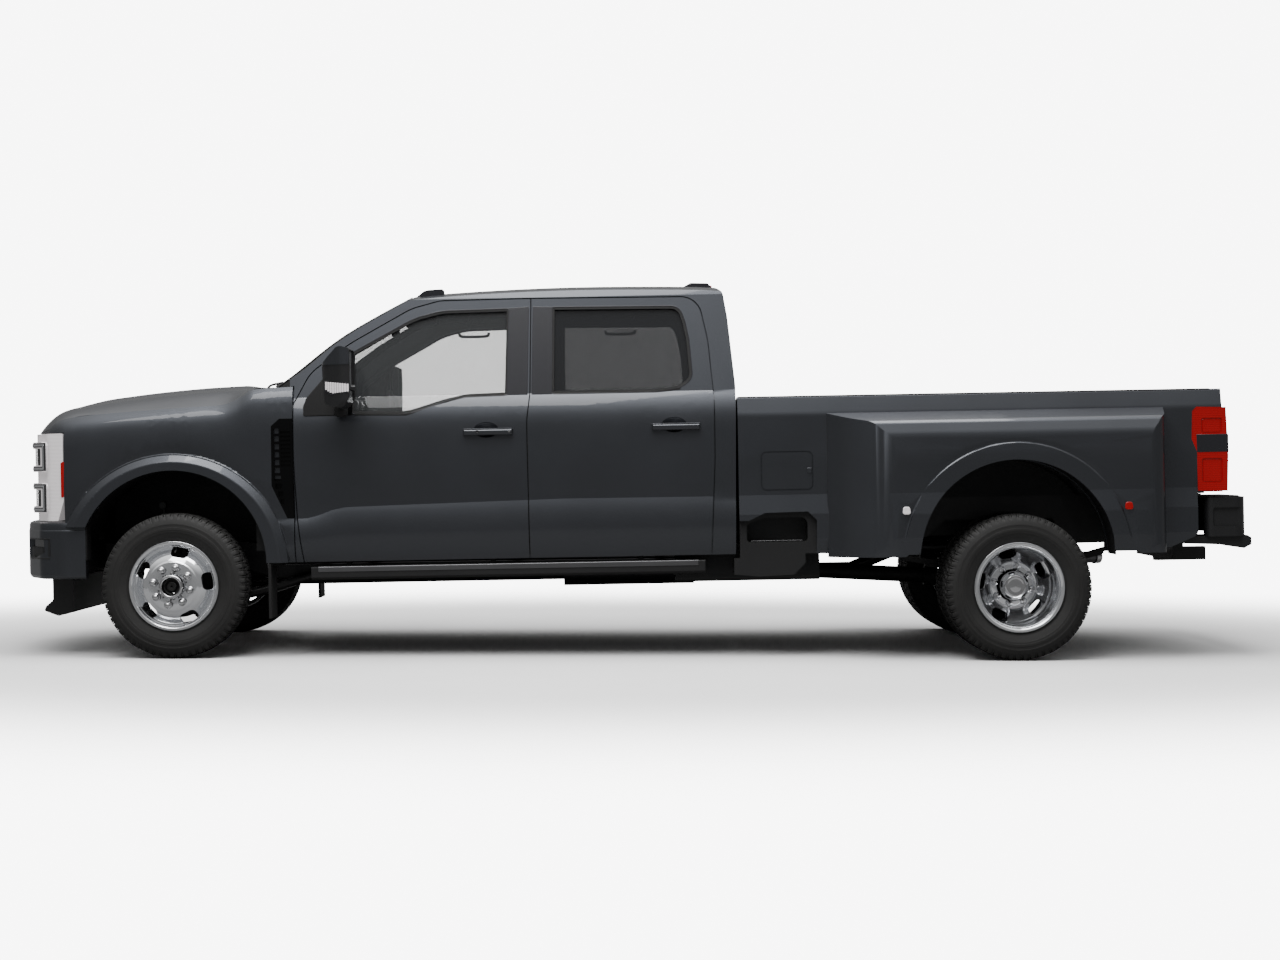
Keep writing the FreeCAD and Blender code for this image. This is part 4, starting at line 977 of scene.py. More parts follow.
@dataclass(frozen=True)
class Wheels:
    """Polished rims with lug nuts, hubs, edge rings and valves, and the brakes behind them."""

    nuts: int = 8
    nut_circle: float = 100.0
    flange: float = 236.0
    front_y: float = 950.0
    front_face: float = 1086.0
    rear_face: float = 940.0
    rear_outer: float = 1081.0
    rim_half: float = 105.0
    holes: int = 5
    hole: Point2 = (46.0, 28.0)

    def barrel(self, y: float, bore: float, dish: Sequence[Point2], back: Sequence[Point2]) -> list[Point2]:
        """Closed profile of a rim: outer lip, dished disc, bore, back of the disc, barrel.

        Args:
            y: The rim's middle.
            bore: Radius of its middle hole.
            dish: Face of the disc from the lip inwards, as (distance from the rim's middle, radius).
            back: Back of the disc from the bore outwards, in the same way.

        Returns:
            The (y, radius) points.
        """
        lip = [(113, 236), (115.5, 234), (116, 229), (113, 221), (106, 214.5), (94, 211.5), (80, 210)]
        far = [
            (-80, 205), (-106, 205), (-113, 220), (-115, 236), (-108, 236), (-100, 219), (100, 219),
            (108, 236)]
        middle = [(dish[-1][0], bore), (back[0][0], bore)]
        return [(y + u, r) for u, r in [*lip, *dish, *middle, *back, *far]]

    def holed(self, form: Form, radius: float, turn: float) -> Form:
        """Cuts the rounded hand holes.

        Args:
            form: The turned rim.
            radius: Distance of the holes' middles from the hub.
            turn: Angle of the first hole, in degrees.

        Returns:
            The rim with its holes.
        """
        wide, high = self.hole
        foot, top = radius - high, radius + high
        corners = [(-wide, foot, 22), (wide, foot, 22), (wide, top, 24), (-wide, top, 24)]
        tool = Form().prism(corners, Plane.SIDE, 600, 1300).turn(turn, "Y").spin(self.holes)
        return form.cut(tool)

    def rims(self) -> None:
        """Polished rims: convex at the front, two dished ones back to back at the rear."""
        face = self.front_face - self.front_y
        dish = [
            (76, 206), (74, 202), (76, 197), (84, 190), (100, 176), (115, 161), (124, 148), (128, 139),
            (130, 134), (134, 131), (face, 126), (face, 90)]
        back = [(face - 11, 116), (118, 134), (106, 150), (88, 168), (70, 182), (62, 192), (60, 205)]
        front = Form().lathe(self.barrel(self.front_y, 62, dish, back), 120)
        self.holed(front, 182, 9.6).pair(
            "rim_front", ALLOY, "front_wheel_{}", place=FRONT_AXLE, sharp=32.0, replaces=("rim_front_{}",))
        deep = self.rear_face - self.rear_outer
        dish = [
            (0, 207), (-44, 205), (-56, 200), (-66, 190), (-84, 176), (-104, 162), (-122, 150), (-132, 140),
            (deep + 3, 130), (deep, 122), (deep, 100)]
        back = [(deep - 11, 112), (deep - 9, 138), (deep + 8, 154), (deep + 40, 178), (-78, 194), (-76, 205)]
        profile = self.barrel(self.rear_outer, 84, dish, back)
        outer = Form().lathe(profile, 120)
        inner = Form().lathe([(2 * self.rear_face - y - 12, r) for y, r in profile], 120)
        self.holed(outer, 174, 61.6).add(self.holed(inner, 174, 61.6)).pair(
            "rims_rear", ALLOY, "rear_wheels_{}", place=REAR_AXLE, sharp=32.0, replaces=("rims_rear_{}",))

    def nut_ring(self, base: float, length: float) -> Form:
        """Ring of domed nut covers with flanges, standing on a face.

        Args:
            base: Where the face is, across the truck.
            length: How far the covers reach out.

        Returns:
            The ring.
        """
        top = base + length
        cover = Form().lathe([
            (base - 1, 14), (base - 1, 21), (base + 2, 21), (base + 4, 17.5), (top - 9, 16), (top - 3, 12),
            (top, 5), (top + 0.4, 0.1)], 24, closed=False)
        return cover.move(z=self.nut_circle).turn(11.25, "Y").spin(self.nuts)

    def edge(self, y: float) -> Form:
        """Rounded bead along the rim's outer flange, with a step inside it.

        Args:
            y: Where the flange's edge is, across the truck.

        Returns:
            The bead and the step.
        """
        ring = Form()
        for radius, depth, size in ((self.flange - 1.5, 0.0, 4.0), (211.0, -13.0, 2.5)):
            circle = [(radius * math.sin(a), y + depth, radius * math.cos(a)) for a in ring_angles(96)]
            ring.tube(circle, size, 8, closed=True)
        return ring

    def valve(self, y: float) -> Form:
        """Valve stem, through a hand hole."""
        return Form().tube(flowing([(12, y - 30, 198), (12, y - 6, 190), (12, y + 18, 182)], 3), 4.0, 8)

    def build(self) -> None:
        """Makes the rims and dresses the four hubs."""
        self.rims()
        front = {"body": "front_wheel_{}", "place": FRONT_AXLE}
        rear = {"body": "rear_wheels_{}", "place": REAR_AXLE}
        self.nut_ring(self.front_face + 19, 26).pair("lug_nuts_front", CHROME, sharp=40.0, **front)
        self.edge(self.front_y + self.rim_half).pair("rim_edge_front", ALLOY, **front)
        self.edge(self.rear_outer + self.rim_half).pair("rim_edge_rear", ALLOY, **rear)
        self.valve(self.front_face - 30).pair("valve_front", STEEL, **front)
        self.valve(self.rear_face + 20).pair("valve_rear", STEEL, **rear)
        face = self.front_face + 50
        hub = Form().lathe([
            (face - 14, 46), (face - 2, 48), (face + 1, 51), (face + 1, 58), (face - 3, 63), (face - 12, 64),
            (face - 14, 62)], 64)
        hub.pair("hub_lip_front", CHROME, sharp=50.0, **front)
        bearing = Form().lathe([(1088, 36), (1100, 36), (1104, 41), (1104, 44), (1088, 44)], 40)
        bearing.add(Form().lathe([(1090, 4), (1104, 4), (1108, 9), (1108, 22), (1104, 25), (1090, 25)], 28))
        bearing.pair("hub_bearing_front", CAST, bevel=0.6, **front)
        bolt = [(face - 16, 1), (face - 16, 6), (face - 9, 6), (face - 8, 4.5), (face - 8, 1)]
        Form().lathe(bolt, 6).move(z=69).spin(10).pair("hub_bolts_front", STEEL, **front)
        face = self.rear_face
        flange = Form().lathe(
            [(face - 2, 84), (face - 2, 121), (face + 5, 119), (face + 8, 112), (face + 8, 86)], 64)
        flange.pair("nut_flange_rear", ALLOY, **rear)
        self.nut_ring(face + 8, 26).pair("lug_nuts_rear", CHROME, sharp=40.0, **rear)
        cap = Form().lathe([
            (1015, 78), (1030, 74), (1046, 62), (1051, 56), (1053, 47), (1051, 42), (1052, 30), (1054, 14),
            (1054.5, 0.1)], 64, closed=False)
        cap.pair("hub_cap_rear", CHROME, sharp=50.0, **rear)
        self.brakes()

    def brakes(self) -> None:
        """Calipers and splash shields at the front, backing plates at the rear."""
        reach = [math.radians(a) for a in range(-22, 23, 4)]
        rows = [[(r * math.sin(a + math.pi / 2), y, r * math.cos(a + math.pi / 2)) for y, r in (
            (888, 128), (888, 183), (896, 190), (940, 190), (948, 183), (948, 128))] for a in reach]
        caliper = Form().rows(rows).turn(-60, "Y")
        caliper.pair("brake_caliper_front", CAST, "knuckle_{}", place=FRONT_AXLE, bevel=2.0)
        shield = Form().lathe([(884, 60), (884, 170), (890, 176), (887, 176), (880, 170), (880, 60)], 48)
        shield.pair("splash_shield_front", CHASSIS, "knuckle_{}", place=FRONT_AXLE)
        plate = Form().lathe([(640, 62), (640, 150), (652, 168), (668, 168), (668, 160), (656, 60)], 48)
        plate.pair("backing_plate_rear", CAST, place=REAR_AXLE)


@dataclass(frozen=True)
class Springs:
    """Coil springs, shock absorbers, leaf packs, radius arms and anti-roll bar."""

    coil_radius: float = 56.0
    coil_wire: float = 8.0
    coil_y: float = 545.0
    leaf_y: tuple[float, float] = (505.0, 580.0)
    leaf: float = 11.0
    leaf_step: float = 12.5

    def coil(self) -> Form:
        """Coil spring between the axle and its seat.

        Returns:
            The spring with its two seats.
        """
        turns, steps, foot, height = 3.5, 84, 60, 112
        path = []
        for k in range(steps + 1):
            a, t = math.tau * turns * k / steps, k / steps
            out, across = self.coil_radius * math.cos(a), self.coil_radius * math.sin(a)
            path.append((out, self.coil_y + across, foot + height * t))
        form = Form().tube(path, self.coil_wire, 10)
        seat, reach = self.coil_y, 66
        for z in (50, 168):
            form.prism(oblong(-reach, reach, seat - reach, seat + reach, 60), Plane.TOP, z, z + 8)
        return form

    def leaves(self) -> Form:
        """Leaf pack with its eyes, clamps and plates, about the rear axle.

        Returns:
            The pack.
        """
        form = Form()
        line = [(-760, 182), (-380, 122), (-60, 104), (60, 104), (400, 140), (742, 238)]
        low, high = self.leaf_y
        for level, ends in enumerate(((0, 0), (70, 60), (210, 180), (340, 300), (470, 430))):
            first, last = line[0][0] + ends[0], line[-1][0] - ends[1]
            spots = [first + (last - first) * k / 20 for k in range(21)]
            rows = []
            for x in spots:
                z = blend_at(line, x) - level * self.leaf_step + 2.5 * level * (abs(x) / 700.0)
                rows.append([(x, low, z - self.leaf), (x, high, z - self.leaf), (x, high, z), (x, low, z)])
            form.rows(rows)
        for x, z in (line[0], line[-1]):
            eye = Form().lathe([(low - 4, 12), (low - 4, 26), (high + 4, 26), (high + 4, 12)], 24)
            form.add(eye.move(x=x, z=z - 4))
        for x in (-330, 330):
            clamp = [(x - 16, 78), (x + 16, 78), (x + 16, 132 + abs(x) * 0.02), (x - 16, 132)]
            form.prism(clamp, Plane.SIDE, low - 5, high + 5)
        form.prism([(-75, 104), (75, 104), (70, 122), (-70, 122)], Plane.SIDE, low - 8, high + 8)
        form.prism([(-60, 40), (60, 40), (75, 52), (-75, 52)], Plane.SIDE, low - 8, high + 8)
        return form

    def bolts(self) -> Form:
        """U-bolts over the leaf pack, and the plate under the axle that they hold.

        Returns:
            The bolts and the plate.
        """
        form = Form()
        top, sides = 126, (self.leaf_y[0] - 2, self.leaf_y[1] + 2)
        for x in (-62, 62):
            for y in sides:
                form.tube([(x, y, -72), (x, y, top)], 7.0, 8)
            form.tube([(x, y, top) for y in sides], 7.0, 8)
        form.prism(oblong(-78, 78, -84, -66, 6), Plane.SIDE, 492, 596)
        return form

    def damper(self, foot: Point3, top: Point3) -> Form:
        """Shock absorber: a wide body, a slim rod and an eye at each end.

        Args:
            foot: Middle of its lower eye.
            top: Middle of its upper eye.

        Returns:
            The damper.
        """
        a, b = Vector(foot), Vector(top)
        form = Form()
        form.tube([a, a.lerp(b, 0.5)], 29.0, 20).tube([a.lerp(b, 0.46), a.lerp(b, 0.9)], 34.0, 20)
        form.tube([a.lerp(b, 0.88), b], 12.0, 14)
        for end in (a, b):
            form.tube([end - Vector((0, 24, 0)), end + Vector((0, 24, 0))], 19.0, 16)
        return form

    def build(self) -> None:
        """Makes the springs of both axles."""
        self.coil().pair("coil_spring", CHASSIS, place=FRONT_AXLE)
        self.leaves().pair("leaf_pack", CHASSIS, place=REAR_AXLE, bevel=1.0)
        self.bolts().pair("spring_bolts", STEEL, place=REAR_AXLE)
        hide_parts("suspension")
        self.damper((-95, 640, -40), (-150, 590, 420)).pair("shock_front", SATIN, place=FRONT_AXLE)
        self.damper((150, 620, -60), (330, 600, 300)).pair("shock_rear", SATIN, place=REAR_AXLE)
        arm = Form().tube(flowing([(0, 560, -60), (300, 545, -70), (620, 520, 20), (760, 500, 60)]), 26.0, 12)
        arm.pair("radius_arm", CHASSIS, place=FRONT_AXLE)
        half = [(300, 486, 30), (300, 486, 10), (250, 462, -96), (240, 300, -104)]
        bar = Form().tube(flowing(half + [(x, -y, z) for x, y, z in reversed(half)]), 16.0, 12)
        bar.piece("anti_roll_bar", CHASSIS, place=FRONT_AXLE)


@dataclass(frozen=True)
class DoorTrim:
    """Window seals, pillar and sail covers, belts, locks and inner panels of the four doors."""

    seal: float = 9.0
    front_window: Corners = (
        (-1452, 1290, 10), (-1452, 1612, 10), (-1120, 1792, 200), (-975, 1828, 200), (-617, 1834, 10),
        (-630, 1376, 6), (-850, 1370, 200), (-960, 1345, 200), (-1165, 1282, 200),
    )
    sail: Corners = (
        (-1712, 1278, 10), (-1712, 1355, 80), (-1605, 1481, 200), (-1452, 1602, 10), (-1452, 1280, 10))
    rear_window: Corners = (
        (-385, 1380, 8), (-378, 1838, 8), (300, 1832, 60), (343, 1700, 400), (361, 1446, 60),
        (300, 1396, 150), (170, 1380, 200),
    )
    front_cover: Corners = ((-632, 1371, 3), (-617, 1842, 3), (-507, 1848, 3), (-518, 1371, 3))
    rear_cover: Corners = ((-486, 1848, 3), (-497, 1371, 3), (-386, 1371, 3), (-379, 1844, 3))

    def hoops(self) -> None:
        """Rubber seals round the glass, with a slim raised bead."""
        for place, outline in (("front", self.front_window), ("rear", self.rear_window)):
            seal = Form().hoop(outline, Plane.SIDE, -14, 1.2, 3.0, self.seal).shape(on_skin)
            seal.pair(f"window_seal_{place}", RUBBER, f"{place}_door_{{}}", bevel=1.0)
            bead = Form().hoop(outline, Plane.SIDE, 0.5, 2.6, 8.0, -3.0).shape(on_skin)
            bead.pair(f"window_bead_{place}", GLOSS_BLACK, f"{place}_door_{{}}", bevel=0.8)

    def covers(self) -> None:
        """Glossy covers of the pillars between the windows, their seal, and the sail panel with its rim."""
        for place, outline in (("front", self.front_cover), ("rear", self.rear_cover)):
            cover = Form().prism(outline, Plane.SIDE, -2, 2.4).shape(on_skin)
            cover.pair(f"pillar_cover_{place}", GLOSS_BLACK, f"{place}_door_{{}}", bevel=1.0)
        gap = Form().prism([
            (-522, 520), (-524, 1130, 300), (-524, 1230, 300), (-506, 1380, 300), (-497, 1884), (-493, 1884),
            (-500, 1380, 300), (-518, 1230, 300), (-518, 1130, 300), (-516, 520)], Plane.SIDE, -30, -9)
        gap.shape(on_skin).pair("pillar_seal", RUBBER)
        sail = Form().prism(self.sail, Plane.SIDE, -1, 4.6).shape(on_skin)
        sail.pair("sail_cover", DEEP_BLACK, "front_door_{}")
        rim = Form().hoop(self.sail, Plane.SIDE, -6, 1.2, 4.0, 7.0).shape(on_skin)
        rim.pair("sail_rim", RUBBER, "front_door_{}", bevel=1.0)

    def belt(self) -> None:
        """Black belt mouldings under the glass."""
        section = [(-2, -7), (3, -6), (2, 6), (-11, 8), (-13, -6)]
        for place, spots in (
            ("front", [(-1440, 1281), (-1165, 1276), (-960, 1338), (-850, 1364), (-640, 1370)]),
            ("rear", [(-380, 1374), (170, 1374), (300, 1390)]),
        ):
            rows = [[(x, skin_y(z) + out, z + up) for out, up in section] for x, z in spots]
            Form().rows(rows).pair(f"belt_moulding_{place}", RUBBER, f"{place}_door_{{}}", bevel=1.0)

    def locks(self) -> None:
        """Lock barrel and button on the front handles, and painted edges on all four."""
        barrel = Form().lathe([(1040, 2), (1040, 9), (1043, 9), (1044, 7), (1042.5, 2)], 24)
        barrel.move(x=-786, z=1176).pair("lock_barrel", SATIN, "front_door_{}")
        button = Form().lathe([(1040, 1), (1040, 6.5), (1042.6, 6), (1042.6, 1)], 20).move(x=-616, z=1176)
        button.pair("handle_button", CHROME, "front_door_{}")
        for place, x0, x1, z in (("front", -864, -595, 1174), ("rear", 140, 404, 1184)):
            edge = [(x0 + 4, z + 14, 3), (x0 + 4, z + 19, 3), (x1 - 4, z + 19, 3), (x1 - 4, z + 14, 3)]
            cap = Form().prism(edge, Plane.SIDE, 1016, 1037)
            cap.pair(f"handle_top_{place}", PAINT, f"{place}_door_{{}}", bevel=1.5)

    def panels(self) -> None:
        """Moulded inner panels with armrest, pull and speaker rings."""
        for place, x0, x1 in (("front", -1560, -620), ("rear", -380, 330)):
            body = f"{place}_door_{{}}"
            rest = Form().prism([
                (888, 640, 10), (876, 640, 10), (872, 860, 60), (818, 905, 20), (812, 960, 14),
                (860, 985, 30), (874, 1240, 20), (888, 1250)], Plane.FRONT, x0, x1)
            rest.pair(f"door_panel_{place}", BLACK_PLASTIC, body, bevel=4.0)
            bow = [(x0 + 60, 868, 1150), (x0 + 120, 838, 1156), (x0 + 230, 838, 1150), (x0 + 290, 868, 1140)]
            pull = Form().tube(flowing(bow), 12, 12)
            pull.pair(f"door_pull_{place}", SATIN, body)
            ring = [(868, 20), (868, 78), (876, 84), (876, 92), (864, 92), (862, 84), (864, 20)]
            speaker = Form().lathe(ring, 48)
            speaker.move(x=x0 + 150, z=735).pair(f"speaker_ring_{place}", SATIN, body)

    def build(self) -> None:
        """Makes all the door trim."""
        self.hoops()
        self.covers()
        self.belt()
        self.locks()
        self.panels()


@dataclass(frozen=True)
class TowMirrors:
    """Caps, lamps, glass and pivots of the wide mirrors."""

    plan: Corners = ((-1400, 1085), (-1400, 1345), (-1470, 1345, 60), (-1580, 1290, 120), (-1580, 1085, 40))
    crest: tuple[Point2, ...] = ((-1579, 1536), (-1490, 1626), (-1470, 1630), (-1428, 1621), (-1400, 1600))

    def outer(self, point: Vector) -> Vector:
        """Point whose depth is measured from the housing's rounded side.

        Args:
            point: The point, with its depth as y.

        Returns:
            The point in the body's frame.
        """
        loop = rounded(self.plan, 6.0)
        edge = sorted((p.x, p.y) for p in loop if p.y > 1200)
        return Vector((point.x, point.y + blend_at(edge, point.x), point.z))

    def build(self) -> None:
        """Makes the mirror details on both doors."""
        body = "front_door_{}"
        cap = Form()
        for x0 in range(-1579, -1434, 12):
            x1 = x0 + 12
            near, far = blend_at(self.crest, x0), blend_at(self.crest, x1)
            cap.prism([(x0, 1534), (x1, 1534), (x1, far), (x0, near)], Plane.SIDE, -6, 2.2)
        bmesh.ops.remove_doubles(cap.mesh, verts=cap.mesh.verts, dist=0.01)
        cap.shape(self.outer).pair("mirror_cap", PAINT, body, sharp=50.0)
        rim = [(-1558, 1455, 10), (-1429, 1438, 10), (-1427, 1386, 8), (-1520, 1374, 20), (-1562, 1398, 14)]
        lamp = Form().hoop(rim, Plane.SIDE, -6, 2.5, 0.0, 7.0)
        lamp.shape(self.outer).pair("mirror_lamp_rim", GLOSS_BLACK, body, bevel=0.6)
        lens = Form()
        for x0 in range(-1554, -1436, 13):
            low = blend_at([(-1554, 1404), (-1520, 1384), (-1434, 1393)], x0)
            high = blend_at([(-1554, 1446), (-1434, 1432)], x0)
            lens.prism(oblong(x0, x0 + 11, low, high, 3), Plane.SIDE, -5, 3.2)
        lens.shape(self.outer).pair("mirror_lamp", WHITE_LENS, body, bevel=0.8)
        upper = [(1106, 1423, 18), (1324, 1423, 18), (1324, 1558, 58), (1303, 1609, 28), (1106, 1609, 18)]
        lower = [(1106, 1338, 18), (1324, 1338, 18), (1324, 1401, 13), (1106, 1401, 13)]
        for name, outline in (("mirror_glass", upper), ("spotter_glass", lower)):
            Form().prism(outline, Plane.FRONT, -1440.5, -1432).pair(name, MIRROR, body, bevel=1.0)
        knob = [(-34, 0.1), (-34, 24), (-26, 33), (0, 36), (26, 33), (34, 24), (34, 0.1)]
        foot = Form().lathe(knob, 40, closed=False)
        foot.turn(90, "X").move(x=-1505, y=1048, z=1302)
        foot.pair("mirror_pivot", BLACK_PLASTIC, body, sharp=40.0)


@dataclass(frozen=True)
class CabTrim:
    """Roof lamp lenses, windscreen edge, wipers, cowl, and what shows of the cabin through the glass."""

    lamp_ys: tuple[float, ...] = (-600.0, -230.0, 0.0, 230.0, 600.0)
    lamp_x: float = -1172.0
    lamp_bow: float = 0.00016
    roof_line: tuple[Point2, ...] = ((-1250, 1952), (-1036, 1971))
    roof_drop: float = 62.0
    roof_half: float = 820.0
    screen_line: tuple[Point2, ...] = (
        (1437, -1980), (1505, -1881), (1647, -1696), (1732, -1568), (1820, -1409), (1915, -1225))
    screen_foot: float = 1437.0
    screen_rise: float = 485.0
    screen_half: float = 800.0
    screen_taper: float = 106.0
    screen_bow: float = 0.000155
    rim_radius: float = 185.0

    def half_width(self, z: float, extra: float = 0.0) -> float:
        """Half width of the windscreen at a height, and a little more where asked."""
        return self.screen_half + extra - self.screen_taper * (z - self.screen_foot) / self.screen_rise

    def bowed(self, x: float, y: float) -> float:
        """Place along the truck of the windscreen's face, which bows back from its middle."""
        return x + self.screen_bow * y * y

    def roof(self) -> None:
        """Lenses of the clearance lamps, the brake lamp and the roof's seams."""
        for y in self.lamp_ys:
            x = self.lamp_x + self.lamp_bow * y * y
            z = blend_at(self.roof_line, x) - self.roof_drop * (y / self.roof_half) ** 2
            hump = [(x + 6, z + 4, 6), (x + 42, z + 31, 18), (x + 120, z + 35, 8), (x + 124, z + 8, 4)]
            lens = Form().prism(hump, Plane.SIDE, y - 30, y + 30)
            lens.move(z=2.2).piece(f"clearance_lens_{int(y + 600)}", SMOKED_LENS, bevel=2.0)
        brake = [(-178, 1970, 8), (178, 1970, 8), (176, 1996, 8), (-176, 1996, 8)]
        Form().prism(brake, Plane.FRONT, 490, 503).piece("high_brake_lens", RED_LENS, bevel=1.5)
        ditch = flowing([(-1010, 838, 1893), (-700, 842, 1899), (-100, 842, 1901), (420, 842, 1897)])
        Form().tube(ditch, 5.0, 8).pair("roof_seam_strip", RUBBER)

    def screen(self) -> None:
        """Windscreen edge and its dark band, wipers and the slotted cowl."""
        path = []
        for z, x in self.screen_line:
            y = self.half_width(z)
            path.append((self.bowed(x, y) + 2, y, z + 2))
        Form().tube(flowing(path, 4), 6.0, 8).pair("screen_edge", RUBBER)
        band = [(0, 9.0), (-72, 9.0), (-72, 12.0), (-3, 12.0), (1, 66.0), (4, 66.0)]
        rows = []
        for z, x in self.screen_line:
            wide = self.half_width(z, 3.0)
            rows.append([(self.bowed(x + deep, wide + out), wide + out, z) for out, deep in band])
        Form().rows(rows).pair("screen_band", DEEP_BLACK)
        for y0 in (-560.0, 120.0):
            path = []
            for t in (0.0, 0.25, 0.5, 0.75, 1.0):
                y, z = y0 + 520 * t, 1452 + 46 * t
                path.append((self.bowed(blend_at(self.screen_line, z), y) - 12, y, z))
            middle = (path[2][0] - 6, path[2][1], path[2][2] + 8)
            arm = Form().tube(flowing(path, 4), 5.0, 8, flat=1.6)
            arm.tube(flowing([(-1975, y0 + 20, 1442), (-1965, y0 + 90, 1464), middle]), 7.0, 8)
            arm.piece(f"wiper_{int(y0 + 560)}", BLACK_PLASTIC)
        slat = [(-1955, 1413, 3), (-1945, 1413, 3), (-1905, 1437, 3), (-1915, 1437, 3)]
        slats = Form().prism(slat, Plane.SIDE, -8, 8)
        slats.move(x=4, z=4).array(36, y=44).move(y=-770)
        slats.piece("cowl_slats", BLACK_PLASTIC, bevel=1.0)

    def inside(self) -> None:
        """Mirror, visors, grab handles, screen, gauges, vents, gear lever and steering wheel grip."""
        glass = [(-125, 1742, 18), (125, 1742, 18), (118, 1806, 18), (-118, 1806, 18)]
        Form().prism(glass, Plane.FRONT, -1330, -1306).piece("cabin_mirror", SATIN, bevel=3.0)
        stem = flowing([(-1330, 0, 1774), (-1352, 0, 1812), (-1368, 0, 1836)])
        Form().tube(stem, 10, 10).piece("cabin_mirror_stem", SATIN)
        flap = [(-1290, 160, 20), (-1130, 160, 20), (-1130, 640, 20), (-1300, 640, 20)]
        visor = Form().prism(flap, Plane.TOP, 1840, 1854)
        visor.turn(-10, "Y", (-1200, 0, 1850)).pair("sun_visor", CLOTH, bevel=3.0)
        for x in (-1010.0, -120.0):
            grab = flowing([(x, 776, 1800), (x + 20, 752, 1782), (x + 160, 752, 1782), (x + 180, 776, 1800)])
            Form().tube(grab, 9, 10).pair(f"grab_handle_{int(-x)}", SATIN)
        screen = Form().prism(oblong(-150, 150, 1140, 1330, 14), Plane.FRONT, -1462, -1436)
        screen.turn(8, "Y", (-1450, 0, 1230)).piece("centre_screen", GLOSS_BLACK, bevel=2.0)
        gauges = Form()
        for y in (-510.0, -330.0):
            dial = Form().lathe([(-12, 44), (-12, 52), (12, 56), (12, 48)], 40).turn(90, "Z")
            gauges.add(dial.move(x=-1484, y=y, z=1322))
        gauges.piece("gauge_rings", CHROME)
        vents = Form()
        for y in (-780.0, -240.0, 240.0, 780.0):
            vents.hoop(oblong(y - 58, y + 58, 1232, 1300, 12), Plane.FRONT, -1500, -1428, 0, 8)
            for z in (1249, 1266, 1283):
                vents.prism(oblong(y - 52, y + 52, z - 2, z + 2), Plane.FRONT, -1500, -1436)
        vents.piece("dash_vents", SATIN, bevel=1.0)
        lever = Form().tube(flowing([(-1400, 0, 930), (-1392, 0, 990), (-1380, 0, 1040)]), 9, 12)
        knob = Form().lathe([(-34, 0.1), (-30, 18), (0, 24), (26, 20), (34, 0.1)], 24, closed=False)
        lever.add(knob.turn(90, "X").move(x=-1378, z=1062))
        lever.piece("gear_lever", SATIN, sharp=50.0)
        circle = []
        for a in ring_angles(72):
            across, up = self.rim_radius * math.cos(a), self.rim_radius * math.sin(a)
            circle.append((up * 0.34, across, up * -0.94))
        grip = Form().tube(circle, 17.5, 14, closed=True).move(x=-1250, y=-420, z=1237)
        grip.piece("wheel_grip", BLACK_PLASTIC)

    def build(self) -> None:
        """Makes the cab's trim."""
        self.roof()
        self.screen()
        self.inside()


